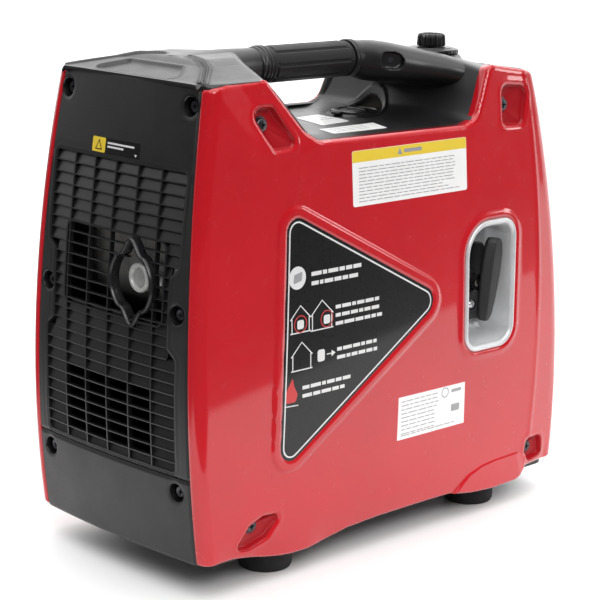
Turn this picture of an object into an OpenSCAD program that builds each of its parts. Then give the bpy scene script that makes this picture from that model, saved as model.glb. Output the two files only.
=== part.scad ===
// Portable inverter generator: a closed suitcase case round a small air-cooled engine.
// Frame: X runs from the exhaust end (-X) to the control-panel end (+X), Y across the width
// with the recoil starter at -Y, Z up from the floor. Millimetres.

/* [Body] */
// x of the rear face where it stands out most
rear_x = -244; // [-260:1:-230]
// x of the front face where it stands out most
front_x = 250; // [235:1:265]
// half width of the case low down
half_width = 119; // [110:0.5:125]
// height of the lower edge of the skins
skin_bottom_z = 31; // [26:1:40]
// height of the shoulders of the side panels
shoulder_z = 449; // [430:1:460]
// wall thickness of the moulded covers
wall = 2.8; // [2:0.1:4]
// width of the strip each side panel wraps round a rear corner
wrap = 13; // [12.5:0.5:20]
// height of the bottom of the hand notch in the side panels
notch_z = 390; // [380:1:400]

/* [Carrying handle] */
// outside radius of the grip
grip_r = 17; // [14:0.5:19]
// height of the grip's axis
grip_z = 445.2; // [440:0.2:450]
// x of the two ends of the grip
grip_x = [-66, 41];

/* [Rear grille] */
// rows of louvres
louvre_rows = 26; // [20:1:30]
// height step between louvre rows
louvre_pitch = 10; // [8:0.5:12]
// width step between louvre columns
louvre_column = 29.7; // [25:0.1:32]

/* [Starter] */
// centre of the starter recess on the side, as x and z
starter_xz = [131, 232];
// x of the rope's plane, where the pulley sits
rope_x = 132; // [125:0.5:138]
// lean of the starter recess, degrees
starter_lean = 3; // [0:1:15]
// rope radius on the starter pulley
pulley_r = 32; // [25:1:40]

/* [Engine] */
// height of the crankshaft axis, which runs along X
crank_z = 198; // [190:1:210]
// cylinder bore radius
bore_r = 26; // [22:0.5:30]

/* [Feet] */
// radius of a rubber foot
foot_r = 25; // [20:1:30]
// x of the rear and front pairs of feet
foot_x = [-127, 155];
// half spacing of the feet across the width
foot_y = 80; // [70:1:95]

/* [Hidden] */
$fn = 48;

// ---- case outline -------------------------------------------------------
function xr(z) = rear_x + (z < 180 ? 0.00049 : 0.00035) * pow(z - 180, 2);
function xf(z) = front_x - 0.00044 * pow(z - 110, 2);
function ys(z) = half_width - 0.000095 * pow(z - 60, 2);
skin_z = [skin_bottom_z, 60, 90, 120, 160, 200, 240, 280, 320, 350, 380, 405, 430, shoulder_z];

// one level of a side panel: rear strip, corner, side, corner, front strip
function side_row(z, o) = let(r = 12, f = 16, x0 = xr(z), x1 = xf(z), y = ys(z)) concat(
  [[x0 + o, -(y - wrap), z]],
  [for (a = [0:18:90]) [x0 + r - (r - o) * cos(a), -(y - r) - (r - o) * sin(a), z]],
  [for (t = [0.15:0.14:0.9]) [x0 + r + t * (x1 - x0 - r - f), -(y - o), z]],
  [for (a = [0:18:90]) [x1 - f + (f - o) * sin(a), -(y - f) - (f - o) * cos(a), z]],
  [[x1 - o, -(y - wrap - 4.5), z]]);

// a closed wall between two matching grids; rows go up and columns to the right seen from outside
module slab(o, n) {
  r = len(o);
  c = len(o[0]);
  pts = concat([for (w = o) each w], [for (w = n) each w]);
  k = r * c;
  function quad(a, b, d, e) = [[a, b, d], [a, d, e]];
  polyhedron(points = pts, convexity = 6, faces = concat(
    [for (i = [0:r - 2], j = [0:c - 2]) each quad(i * c + j, (i + 1) * c + j, (i + 1) * c + j + 1, i * c + j + 1)],
    [for (i = [0:r - 2], j = [0:c - 2]) each quad(k + i * c + j, k + i * c + j + 1, k + (i + 1) * c + j + 1, k + (i + 1) * c + j)],
    [for (j = [0:c - 2]) each quad(j, j + 1, k + j + 1, k + j)],
    [for (j = [0:c - 2]) each quad((r - 1) * c + j + 1, (r - 1) * c + j, k + (r - 1) * c + j, k + (r - 1) * c + j + 1)],
    [for (i = [0:r - 2]) each quad((i + 1) * c, i * c, k + i * c, k + (i + 1) * c)],
    [for (i = [0:r - 2]) each quad(i * c + c - 1, (i + 1) * c + c - 1, k + (i + 1) * c + c - 1, k + i * c + c - 1)]));
}

// extrude a drawing made in x and z along Y, from y0 to y1
module along_y(y0, y1) translate([0, y1, 0]) rotate([90, 0, 0]) linear_extrude(y1 - y0) children();
// extrude a drawing made in y and z along X, from x0 to x1
module along_x(x0, x1) translate([x0, 0, 0]) rotate([90, 0, 90]) linear_extrude(x1 - x0) children();
// cylinder along X or Y
module xcyl(r, x0, x1, y, z) translate([x0, y, z]) rotate([0, 90, 0]) cylinder(r = r, h = x1 - x0);
module ycyl(r, y0, y1, x, z) translate([x, y1, z]) rotate([90, 0, 0]) cylinder(r = r, h = y1 - y0);
module box(x0, x1, y0, y1, z0, z1) translate([x0, y0, z0]) cube([x1 - x0, y1 - y0, z1 - z0]);
// rounded rectangle drawing, centred
module rrect(w, h, r) {
  square([w - 2 * r, h], center = true);
  square([w, h - 2 * r], center = true);
  for (i = [-1, 1], j = [-1, 1]) translate([i * (w / 2 - r), j * (h / 2 - r)]) circle(r);
}

// the open sky above the side panel's top outline
notch_line = [[-260, shoulder_z + 3], [-172, shoulder_z], [-163, 446], [-156, 441], [-112, 398], [-104, 392.5],
  [-95, notch_z], [96, notch_z], [104, 393], [110, 401], [122, 432], [127, 439], [134, 442], [205, 431.5], [220, 428], [270, 424]];
module notch_cut() along_y(-135, -60)
  polygon(concat(notch_line, [[270, 520], [-260, 520]]));

screw_xz = [[-176, 57], [203, 53], [-159, 409], [155, 403]];
function pocket_y(p) = -ys(p[1]);

// outline of the starter opening: two large and two small corner radii
module starter_outline(g) translate(starter_xz) rotate(-starter_lean) {
  w = 36.5 + g;
  h = 63 + g;
  polygon(concat(
    [for (a = [90:10:180]) [-w + (30 + g) * (1 + cos(a)), h - (30 + g) * (1 - sin(a))]],
    [for (a = [180:15:270]) [-w + (13 + g) * (1 + cos(a)), -h + (13 + g) * (1 + sin(a))]],
    [for (a = [270:10:360]) [w - (30 + g) * (1 - cos(a)), -h + (30 + g) * (1 + sin(a))]],
    [for (a = [0:15:90]) [w - (13 + g) * (1 - cos(a)), h - (13 + g) * (1 - sin(a))]]));
}

module panel_skin() difference() {
  union() {
    slab([for (z = skin_z) side_row(z, 0)], [for (z = skin_z) side_row(z, wall)]);
    for (p = screw_xz) ycyl(13, pocket_y(p) + 1.2, pocket_y(p) + 11, p[0], p[1]);
  }
  notch_cut();
  for (p = screw_xz) {
    ycyl(10.5, pocket_y(p) - 3, pocket_y(p) + 8, p[0], p[1]);
    ycyl(3, pocket_y(p) + 6, pocket_y(p) + 14, p[0], p[1]);
  }
  // arch in the lower edge between the feet
  along_y(-135, -60) polygon([[-140, 20], [-120, 35], [160, 35], [176, 20]]);
}

module starter_side_panel() color([0.72, 0.05, 0.08]) difference() {
  panel_skin();
  along_y(-135, -60) starter_outline(0);
}

door_x = [-92, 52];
door_z = [128, 344];
door_c = [(door_x[0] + door_x[1]) / 2, (door_z[0] + door_z[1]) / 2];
module door_shape(g) translate(door_c) rrect(door_x[1] - door_x[0] + 2 * g, door_z[1] - door_z[0] + 2 * g, 16 + g);
module service_side_panel() color([0.72, 0.05, 0.08]) difference() {
  mirror([0, 1, 0]) panel_skin();
  along_y(60, 135) door_shape(0.8);
}

// the door carries its own hinge barrel inside the rear edge
module service_door() color([0.72, 0.05, 0.08]) difference() {
  union() {
    intersection() {
      mirror([0, 1, 0]) slab([for (z = [120:38:352]) side_row(z, 0.2)], [for (z = [120:38:352]) side_row(z, wall)]);
      along_y(60, 135) door_shape(0);
    }
    along_y(106.5, 110.5) difference() {
      door_shape(-1.5);
      door_shape(-5);
    }
  }
  ycyl(9.4, 100, 130, 34, 236);
}
module door_latch() color([0.05, 0.05, 0.055]) {
  ycyl(9.1, 110.2, 116.2, 34, 236);
  ycyl(5, 102, 110.4, 34, 236);
  translate([34, 104, 236]) box(-4, 4, -2, 2, -27, 4);
  translate([34, 117.1, 236]) cube([3, 2.2, 15], center = true);
}

// ---- rear end -----------------------------------------------------------
function rear_row(z, o) = let(w = ys(z) - wrap - 0.4) [for (t = [1:-0.125:-1])
  [xr(z) - 4.6 * (1 - t * t) + o, t * w, z]];
module rear_skin(zs, o, th) slab([for (z = zs) rear_row(z, o)], [for (z = zs) rear_row(z, o + th)]);
module grille_outline(g) difference() {
  translate([0, 244]) rrect(178 + 2 * g, 258 + 2 * g, 5 + g);
  for (s = [-1, 1]) translate([s * (92 + g), 253]) rrect(27 - 2 * g, 76 - 2 * g, 8);
}
rear_screw_yz = [[88.6, 96], [88.9, 253], [82.7, 427]];
module rear_pockets(k) for (i = k, s = [-1, 1]) {
  p = rear_screw_yz[i];
  xcyl(8.5, -262, xr(p[1]) + 4.4, s * p[0], p[1]);
  xcyl(2.6, -262, xr(p[1]) + 20, s * p[0], p[1]);
}
module rear_bosses(k) for (i = k, s = [-1, 1]) {
  p = rear_screw_yz[i];
  xcyl(10.6, xr(p[1]) + 0.6, xr(p[1]) + 8, s * p[0], p[1]);
}
module rear_cover() color([0.045, 0.045, 0.05]) difference() {
  union() {
    rear_skin([109.5, 140, 180, 215, 250, 290, 330, 370, 400, 425, 446], 0, wall);
    rear_bosses([1, 2]);
    along_x(-243, -232) intersection() {
      difference() {
        grille_outline(3);
        grille_outline(0.1);
      }
      translate([0, 250]) square([190, 246], center = true);
    }
  }
  along_x(-262, -200) grille_outline(0.1);
  rear_pockets([1, 2]);
  // keeps the rim behind the face
  rear_skin([95, 140, 180, 215, 250, 290, 330, 370, 400, 425, 450], -14, 14);
}
module louvres(c0, c1, r0, r1) for (c = [c0:c1], r = [r0:r1])
  translate([(c - 2.5) * louvre_column, 121 + r * louvre_pitch]) square([louvre_column - 3.4, louvre_pitch - 3.6], center = true);
module rear_grille() color([0.03, 0.03, 0.032]) intersection() {
  rear_skin([112, 150, 190, 230, 270, 310, 350, 376], 3, 2.4);
  along_x(-262, -200) difference() {
    grille_outline(-0.2);
    difference() {
      louvres(1, 4, 12, 18);
      translate([-37, 272]) collar_outline(3);
    }
    louvres(1, 4, 0, 5);
    translate([-37, 272]) collar_outline(0.15);
  }
}
module rear_lower_cover() color([0.045, 0.045, 0.05]) difference() {
  union() {
    rear_skin([skin_bottom_z, 50, 70, 90, 109], 0, wall);
    rear_bosses([0]);
  }
  rear_pockets([0]);
}
module collar_outline(g) {
  circle(30.5 + g);
  for (s = [-1, 1]) translate([0, s * 28.5]) circle(10 + g);
}
module exhaust_collar() color([0.03, 0.03, 0.032]) translate([0, -37, 272]) along_x(-252.5, -239) difference() {
  collar_outline(0);
  union() {
    circle(26.5);
    for (s = [-1, 1]) translate([0, s * 28.5]) circle(6);
  }
}
module spark_arrester() color([0.75, 0.75, 0.76]) difference() {
  union() {
    xcyl(14, -237.4, -229.8, -33, 276);
    xcyl(17, -231.8, -229.8, -33, 276);
  }
  xcyl(10.5, -240, -231.8, -33, 276);
}
module rear_screws() color([0.09, 0.09, 0.1]) for (i = [0:2], s = [-1, 1]) {
  p = rear_screw_yz[i];
  difference() {
    union() {
      xcyl(5.2, xr(p[1]) + 1.2, xr(p[1]) + 4.4, s * p[0], p[1]);
      xcyl(2.6, xr(p[1]) + 4.4, xr(p[1]) + 16, s * p[0], p[1]);
    }
    translate([xr(p[1]) + 1, s * p[0], p[1]]) {
      cube([3, 1.1, 6], center = true);
      cube([3, 6, 1.1], center = true);
    }
  }
}
module side_screws() color([0.09, 0.09, 0.1]) for (p = screw_xz, s = [0, 1]) mirror([0, s, 0]) difference() {
  union() {
    ycyl(6, pocket_y(p) + 3.8, pocket_y(p) + 8, p[0], p[1]);
    ycyl(3, pocket_y(p) + 8, pocket_y(p) + 18, p[0], p[1]);
  }
  translate([p[0], pocket_y(p) + 4, p[1]]) {
    cube([1.3, 3.6, 7], center = true);
    cube([7, 3.6, 1.3], center = true);
  }
}

// ---- top ----------------------------------------------------------------
module tower_rear(d) intersection() {
  along_y(-120, 120) polygon([[-214.2 + d, 372], [-214.2 + d, 447 - d], [-211 + d, 455 - d], [-196, 460 - d],
    [-136, 462 - d], [-129 - d, 458 - d], [-92 - d, 386], [-92 - d, 372]]);
  along_x(-240, -60) polygon([[-103 + d, 372], [-95 + d, 444 - d], [-62 + d, 456 - d], [-44, 460.5 - d], [-20, 462.5 - d],
    [20, 462.5 - d], [44, 460.5 - d], [62 - d, 456 - d], [95 - d, 444 - d], [103 - d, 372]]);
}
module tower_front(d) intersection() {
  along_y(-120, 120) polygon([[120.5 + d, 372], [120.5 + d, 386], [126 + d, 436 - d], [132, 443.2 - d], [140, 443.2 - d], [201.2 - d, 433.4 - d],
    [202.6 - d, 424], [204.4 - d, 372]]);
  translate([0, 0, 360]) linear_extrude(100) polygon([[110, -110], [178 - d, -110], [184 - d, -99], [201.6 - d, -83], [210 - d, -83],
    [210 - d, 83], [201.6 - d, 83], [184 - d, 99], [178 - d, 110], [110, 110]]);
  along_x(60, 220) polygon([[-103 + d, 372], [-99 + d, 432 - d], [-86 + d, 439 - d], [-50, 444 - d], [50, 444 - d],
    [86 - d, 439 - d], [99 - d, 432 - d], [103 - d, 372]]);
}
// cups in the towers that clear the screw bosses of the side panels
module seats(g, e) for (p = [screw_xz[2], screw_xz[3]], s = [0, 1]) mirror([0, s, 0])
  ycyl(13.3 + g, -130, pocket_y(p) + 11.4 + g + e, p[0], p[1]);
module top_cover() color([0.05, 0.05, 0.055]) difference() {
  union() {
    difference() {
      union() {
        tower_rear(0);
        tower_front(0);
        box(-95, 122, -104, 104, 382, 385);
      }
      difference() {
        tower_rear(wall);
        seats(2.6, 0);
      }
      difference() {
        tower_front(wall);
        seats(2.6, 0);
      }
    }
    // rim over the edge of the rear cover
    along_y(-91, 91) polygon([[-220.5, 446.4], [-220.5, 449], [-212.5, 454], [-205, 454], [-212, 446.4]]);
    for (k = [-1, 1]) translate([14, k * 102.6, 386.5]) cube([220, 2.4, 4], center = true);
    // the two roots of the handle and the core the grip is pushed on
    along_y(-16, 16) polygon([[-145, 457.5], [-132, 462.2], [grip_x[0], 462.2], [grip_x[0], 429], [-80, 427], [-92, 419], [-104, 408.5], [-114, 426]]);
    along_y(-16, 16) polygon([[grip_x[1], 462.2], [72, 462.2], [133, 450], [133, 441], [124.5, 400], [112, 411], [92, 423], [66, 428.5], [grip_x[1], 429.2]]);
    xcyl(12.5, grip_x[0] - 3, grip_x[1] + 3, 0, grip_z);
    // raised ring round the spark plug access hole
    translate([92, 30, 383]) cylinder(r = 27.4, h = 3);
  }
  translate([92, 30, 370]) cylinder(r = 24.3, h = 24);
  translate([164, 0, 400]) cylinder(r = 21.5, h = 60);
  seats(0, 0);
  for (p = [screw_xz[2], screw_xz[3]], s = [0, 1]) mirror([0, s, 0]) ycyl(3.1, -130, -84, p[0], p[1]);
  for (s = [-1, 1]) xcyl(2.75, -225, -205, s * rear_screw_yz[2][0], rear_screw_yz[2][1]);
}
module handle_grip() color([0.035, 0.035, 0.038]) difference() {
  xcyl(grip_r, grip_x[0], grip_x[1], 0, grip_z);
  xcyl(12.57, grip_x[0] - 2, grip_x[1] + 2, 0, grip_z);
  for (a = [20:40:340]) rotate([0, 0, 0]) translate([0, 0, grip_z]) rotate([a, 0, 0]) box(-52, 27, -1.6, 1.6, grip_r - 1.2, grip_r + 3);
}
module plug_access_cover() color([0.04, 0.04, 0.045]) translate([92, 30, 0]) difference() {
  union() {
    translate([0, 0, 386.3]) cylinder(r = 26, h = 3);
    translate([0, 0, 378]) cylinder(r = 23.9, h = 9);
    translate([-33, -6, 386.3]) cube([12, 12, 2.2]);
  }
  translate([0, 0, 376]) cylinder(r = 20, h = 9.6);
}

// ---- front --------------------------------------------------------------
tilt = 8.5;
module panel_frame() translate([226, 0, 280]) rotate([0, -tilt, 0]) children();
function front_row(z, o) = let(w = ys(z) - wrap - 4.9) [for (t = [-1:0.125:1])
  [xf(z) + 2.5 * (1 - t * t) - o, t * w, z]];
module front_cover() color([0.045, 0.045, 0.05]) difference() {
  union() {
    slab([for (z = [skin_bottom_z, 60, 100, 140, 180, 220, 260, 300, 340, 380, 410, 432]) front_row(z, 0)],
      [for (z = [skin_bottom_z, 60, 100, 140, 180, 220, 260, 300, 340, 380, 410, 432]) front_row(z, wall)]);
    panel_frame() along_x(2, 11.3) difference() {
      translate([0, 15]) rrect(172, 236, 12);
      translate([0, 15]) rrect(164, 228, 9);
    }
  }
  panel_frame() along_x(-40, 60) translate([0, 15]) rrect(164, 228, 9);
  // air inlet slots below the panel
  for (k = [0:6]) along_x(200, 270) translate([0, 62 + k * 14]) square([130, 7], center = true);
}
ac_y = [-38, 38];
ac_z = -28;
module control_panel() color([0.1, 0.1, 0.11]) panel_frame() difference() {
  along_x(4, 8) translate([0, 15]) rrect(163.6, 227.6, 8.8);
  for (y = ac_y) xcyl(25, 0, 12, y, ac_z);
  xcyl(14, 0, 12, -52, 52);
  xcyl(6.06, 0, 12, -62, 106);
  xcyl(8.2, 0, 12, 56, 52);
  along_x(0, 12) translate([2, 52]) square([23, 15], center = true);
  for (k = [-1:1]) xcyl(4.1, 0, 12, 38 + 18 * k, 108);
  xcyl(3.1, 0, 12, 60, -86);
}
module engine_switch_knob() color([0.03, 0.03, 0.032]) panel_frame() difference() {
  union() {
    xcyl(18.5, 8.4, 14, -62, 106);
    xcyl(17, 14, 31, -62, 106);
    along_x(31, 40.4) translate([-62, 106]) rrect(10, 33, 4);
    xcyl(6, -4, 8.4, -62, 106);
  }
  for (a = [0:30:330]) translate([0, -62, 106]) rotate([a, 0, 0]) xcyl(1.6, 13.8, 45, 0, 17.6);
}
module ac_sockets() color([0.16, 0.16, 0.17]) panel_frame() for (y = ac_y) difference() {
  union() {
    along_x(8, 11) translate([y, ac_z]) rrect(58, 58, 6);
    xcyl(24.8, -22, 8, y, ac_z);
  }
  xcyl(19.7, -9.5, 12, y, ac_z);
  for (s = [-1, 1]) xcyl(2.5, -16, 0, y + s * 9.5, ac_z);
}
module ac_lid(y) panel_frame() {
  along_x(11.4, 14.6) translate([y, ac_z]) rrect(54, 54, 6);
  translate([15, y, ac_z - 24]) box(-0.6, 3.4, -12, 12, -2, 2);
  // hinge barrel along the upper edge
  translate([14, y - 22, ac_z + 27.5]) rotate([-90, 0, 0]) cylinder(r = 2.6, h = 44);
}
module ac_lid_left() color([0.07, 0.07, 0.075]) ac_lid(ac_y[0]);
module ac_lid_right() color([0.07, 0.07, 0.075]) ac_lid(ac_y[1]);
module dc_socket() color([0.12, 0.12, 0.13]) panel_frame() difference() {
  union() {
    xcyl(17, 8, 11, -52, 52);
    xcyl(13.6, -26, 8, -52, 52);
  }
  xcyl(10.6, -22, 12, -52, 52);
}
module reset_button() color([0.75, 0.08, 0.06]) panel_frame() {
  xcyl(7.6, 3, 14, 56, 52);
  xcyl(9.6, 0, 3.4, 56, 52);
}
module eco_rocker() color([0.06, 0.06, 0.065]) panel_frame() translate([5, 2, 52]) rotate([0, 0, -7]) {
  along_x(-2.6, 6.2) rrect(20.4, 13.4, 1);
  cylinder(r = 1.6, h = 14.6, center = true);
}
module indicator_lights() color([0.2, 0.75, 0.3]) panel_frame() for (k = [-1:1]) {
  xcyl(4.1, 2, 10, 38 + 18 * k, 108);
  translate([10, 38 + 18 * k, 108]) rotate([0, 90, 0]) cylinder(r1 = 4.1, r2 = 2.4, h = 1.6);
}
module ground_terminal() color([0.72, 0.58, 0.25]) panel_frame() difference() {
  union() {
    xcyl(3.1, -6, 13.8, 60, -86);
    xcyl(7.5, 8, 9, 60, -86);
    translate([9, 60, -86]) rotate([0, 90, 0]) cylinder(r = 6, h = 3.6, $fn = 6);
  }
  translate([13.8, 60, -86]) cube([1.6, 0.8, 7], center = true);
}

// ---- base ---------------------------------------------------------------
module base_tray() color([0.05, 0.05, 0.055]) {
  difference() {
    translate([7, 0, 29]) linear_extrude(10.2) rrect(466, 222, 16);
    translate([7, 0, 33]) linear_extrude(18) rrect(459, 215, 13);
    for (x = foot_x, s = [-1, 1]) translate([x, s * foot_y, 20]) cylinder(r = 4, h = 20);
    for (k = [0:5]) box(-170 + k * 22, -160 + k * 22, -50, 50, 20, 40);
  }
}
module rubber_feet() color([0.03, 0.03, 0.032]) for (x = foot_x, s = [-1, 1]) translate([x, s * foot_y, 0]) {
  difference() {
    union() {
      cylinder(r1 = foot_r - 1.5, r2 = foot_r, h = 4);
      translate([0, 0, 4]) cylinder(r = foot_r, h = 25);
    }
    translate([0, 0, -1]) cylinder(r = 9, h = 14);
  }
  translate([0, 0, 28]) cylinder(r = 4, h = 9);
  translate([0, 0, 33]) cylinder(r = 8, h = 4);
}

// ---- labels: thin generic plates ----------------------------------------
module on_side(zs, g) intersection() {
  slab([for (z = zs) side_row(z, -0.3)], [for (z = zs) side_row(z, -0.05)]);
  along_y(-135, -60) children();
}
module triangle_decal() color([0.05, 0.05, 0.055]) on_side([90, 120, 160, 200, 240, 280, 320, 350], 0)
  polygon(concat([for (a = [30:15:180]) [-135 + 12 * cos(a + 5), 318 + 12 * sin(a + 5)]],
    [for (a = [185:15:300]) [-128 + 12 * cos(a), 122 + 12 * sin(a)]],
    [for (a = [-48:12:52]) [42 + 9 * cos(a), 231 + 9 * sin(a)]]));
module rating_plate() color([0.85, 0.85, 0.85]) on_side([90, 120, 150], 0)
  polygon([[6, 141], [99, 141], [99, 99], [6, 99]]);
// printed stickers on the side, the rear cover and the deck
module warning_stickers() color([0.9, 0.9, 0.88]) {
  on_side([300, 330, 360, 390], 0) polygon([[-66, 380], [92, 380], [92, 327], [-66, 327]]);
  intersection() {
    rear_skin([375, 390, 400, 410], -0.35, 0.3);
    along_x(-262, -200) polygon([[66, 383], [14, 383], [14, 402], [66, 402]]);
  }
  translate([0, 0, 385]) linear_extrude(0.3) polygon([[18, 41], [52, 45], [50, 8], [44, -7], [0, -13]]);
  translate([0, 0, 385]) linear_extrude(0.3) polygon([[-19, -29], [55, -27], [41, -59], [-28, -57]]);
}

// ---- starter ------------------------------------------------------------
module starter_bezel() color([0.62, 0.63, 0.65]) difference() {
  along_y(-117.6, -108) difference() {
    starter_outline(-0.3);
    starter_outline(-6);
  }
}
module starter_cup() color([0.5, 0.51, 0.53]) difference() {
  along_y(-110, -79.3) starter_outline(-6.3);
  along_y(-116, -82) starter_outline(-9.5);
  ycyl(6, -90, -70, rope_x, crank_z + pulley_r);
  ycyl(2.2, -90, -70, 138, 209);
}
module starter_cup_screw() color([0.12, 0.12, 0.13]) difference() {
  union() {
    ycyl(4.6, -84.6, -82, 138, 209);
    ycyl(2.15, -82, -70, 138, 209);
  }
  translate([138, -84.4, 209]) {
    cube([1.1, 2.6, 6], center = true);
    cube([6, 2.6, 1.1], center = true);
  }
}
module starter_handle() color([0.03, 0.03, 0.033]) difference() {
  union() {
    hull() for (k = [-1, 1]) translate([135 + k * 5.2, 0, 236 + k * 29.5]) ycyl(11.5, -113, -98, 0, 0);
    ycyl(9, -99, -84, rope_x, crank_z + pulley_r);
  }
  ycyl(2.6, -97, -80, rope_x, crank_z + pulley_r);
}
module starter_rope() color([0.75, 0.72, 0.62]) ycyl(2.4, -97, 0, rope_x, crank_z + pulley_r);
module starter_pulley() color([0.2, 0.2, 0.22]) translate([rope_x, 0, 0]) difference() {
  union() {
    xcyl(pulley_r + 6, -5.6, -3.4, 0, crank_z);
    xcyl(pulley_r - 2.8, -4, 4, 0, crank_z);
    xcyl(pulley_r + 6, 3.4, 5.6, 0, crank_z);
  }
  xcyl(6.05, -8, 8, 0, crank_z);
}
module starter_spring() color([0.55, 0.56, 0.58]) translate([rope_x, 0, 0]) for (k = [0:4]) difference() {
  xcyl(12 + 3.2 * k, 6.4, 10, 0, crank_z);
  xcyl(11 + 3.2 * k, 6, 11, 0, crank_z);
}
module starter_housing() color([0.1, 0.1, 0.11]) difference() {
  union() {
    difference() {
      xcyl(79, 71, rope_x + 14, 0, crank_z);
      xcyl(76, 60, rope_x + 11, 0, crank_z);
    }
    xcyl(6, rope_x - 7.5, rope_x + 12, 0, crank_z);
  }
  for (a = [0:30:330]) translate([rope_x, 0, crank_z]) rotate([a, 0, 0]) box(5, 20, -6, 6, 46, 70);
  ycyl(6, -90, -60, rope_x, crank_z + pulley_r);
  ycyl(2.2, -90, -60, 138, 209);
}

// ---- fuel ---------------------------------------------------------------
module fuel_tank() color([0.75, 0.73, 0.68]) difference() {
  union() {
    along_y(-88, 88) polygon([[112, 304], [183, 304], [189, 312], [189, 400], [182, 420], [136, 420], [127, 410], [127, 369], [108, 359], [108, 320]]);
    translate([164, 0, 418]) cylinder(r = 20, h = 25);
    xcyl(4.2, 100, 113, 62, 315);
  }
  along_y(-85, 85) polygon([[115, 307], [181, 307], [186, 314], [186, 399], [180, 417], [138, 417], [130, 409], [130, 367], [111, 357], [111, 322]]);
  translate([164, 0, 410]) cylinder(r = 17.5, h = 40);
}
module fuel_cap() color([0.035, 0.035, 0.038]) difference() {
  union() {
    translate([164, 0, 443.6]) cylinder(r = 27, h = 6.4);
    translate([164, 0, 436]) cylinder(r = 17.2, h = 8);
  }
  translate([164, 0, 430]) cylinder(r = 14.5, h = 15.5);
  translate([164, 0, 440]) cylinder(r = 4.1, h = 20);
}
module fuel_vent_knob() color([0.03, 0.03, 0.032]) difference() {
  union() {
    translate([164, 0, 450.3]) cylinder(r = 13, h = 12.7);
    translate([164, 0, 444]) cylinder(r = 4, h = 6.5);
    for (a = [0:60:300]) translate([164, 0, 450.3]) rotate([0, 0, a]) translate([11.5, 0, 0]) cylinder(r = 3.4, h = 12.7);
  }
}
module fuel_hose() color([0.06, 0.06, 0.065]) xcyl(4.6, 40, 100, 62, 315);

// ---- engine -------------------------------------------------------------
module crankcase() color([0.62, 0.63, 0.64]) difference() {
  union() {
    box(-20, 66, -52, 52, 76, 236);
    box(-44, 90, -60, 60, 70, 77);
    xcyl(24, 60, 72, 0, crank_z);
    ycyl(12, 50, 62, 44, 178);
  }
  box(-14, 60, -46, 46, 82, 230);
  xcyl(11, -30, 80, 0, crank_z);
  translate([22, 0, 220]) cylinder(r = bore_r + 4.1, h = 30);
  ycyl(8, 40, 70, 44, 178);
}
module cylinder_barrel() color([0.6, 0.61, 0.62]) difference() {
  union() {
    translate([22, 0, 226]) cylinder(r = bore_r + 4, h = 98);
    translate([22, 0, 236]) cylinder(r = 42, h = 5);
    for (k = [0:9]) translate([22, 0, 246 + k * 8]) cylinder(r = 42, h = 3);
  }
  translate([22, 0, 220]) cylinder(r = bore_r, h = 120);
}
module cylinder_head() color([0.62, 0.63, 0.64]) difference() {
  union() {
    box(-20, 64, -42, 42, 324, 352);
    xcyl(14, -26, -18, 0, 336);
    ycyl(13, 40, 48, 22, 336);
  }
  for (k = [0:1]) for (s = [-1, 1]) box(-30, 74, s > 0 ? 30 : -50, s > 0 ? 39.9 : -30, 329 + k * 9, 334 + k * 9);
  xcyl(9, -30, 8, 0, 336);
  translate([22, 0, 322]) cylinder(r = bore_r, h = 8);
  // threaded seat of the spark plug
  translate([60, 30, 338]) rotate([0, 52, 0]) {
    translate([0, 0, -0.4]) cylinder(r = 5.1, h = 14);
    translate([0, 0, 7.8]) cylinder(r = 9.6, h = 30);
  }
}
module valve_cover() color([0.5, 0.51, 0.52]) translate([22, 0, 352]) linear_extrude(20) rrect(72, 60, 10);
module piston() color([0.7, 0.71, 0.72]) difference() {
  translate([22, 0, 278]) cylinder(r = bore_r - 0.1, h = 36);
  translate([22, 0, 274]) cylinder(r = 19, h = 32);
  xcyl(6, -10, 60, 0, 292);
}
module connecting_rod() color([0.55, 0.56, 0.57]) difference() {
  union() {
    xcyl(16, 16, 28, 0, crank_z + 20);
    xcyl(10, 16, 28, 0, 292);
    box(18.5, 25.5, -7, 7, crank_z + 31, 286);
  }
  xcyl(10, 10, 34, 0, crank_z + 20);
  xcyl(6, 10, 34, 0, 292);
}
module crankshaft() color([0.45, 0.46, 0.48]) {
  xcyl(10.5, -24, 8, 0, crank_z);
  xcyl(10.5, 36, 118, 0, crank_z);
  for (x = [7.5, 28.5]) xcyl(30, x, x + 8, 0, crank_z);
  xcyl(9.9, 14, 30, 0, crank_z + 20);
  xcyl(5.9, -1, 45, 0, 292);
}
module spark_plug() color([0.9, 0.9, 0.88]) translate([60, 30, 338]) rotate([0, 52, 0]) {
  cylinder(r = 5, h = 12);
  translate([0, 0, 8]) cylinder(r = 9, h = 8, $fn = 6);
  translate([0, 0, 16]) cylinder(r = 5.5, h = 20);
}
module plug_cap() color([0.05, 0.05, 0.055]) translate([60, 30, 338]) rotate([0, 52, 0]) difference() {
  translate([0, 0, 22]) cylinder(r = 9, h = 20);
  translate([0, 0, 20]) cylinder(r = 5.5, h = 16);
}
module carburettor() color([0.66, 0.67, 0.68]) difference() {
  union() {
    ycyl(12.5, 48.2, 80, 22, 336);
    box(4, 40, 52, 74, 300, 346);
    translate([22, 63, 286]) cylinder(r = 15, h = 14);
  }
  ycyl(8, 40, 90, 22, 336);
}
module air_filter() color([0.08, 0.08, 0.085]) {
  difference() {
    box(-56, 62, 80, 104, 282, 366);
    box(-53, 59, 83, 101, 285, 363);
    ycyl(8, 70, 90, 22, 336);
  }
  box(-54, 12, 85, 99, 284, 364);
}
module muffler() color([0.6, 0.6, 0.61]) difference() {
  union() {
    along_x(-222, -116) translate([-12, 278]) rrect(136, 132, 34);
    xcyl(12, -229.8, -221, -33, 276);
    xcyl(9.6, -118, -26, 0, 336);
  }
  along_x(-219.5, -118.5) translate([-12, 278]) rrect(131, 127, 31.5);
  xcyl(9.5, -232, -218, -33, 276);
  xcyl(7.6, -121, -20, 0, 336);
}
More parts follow.
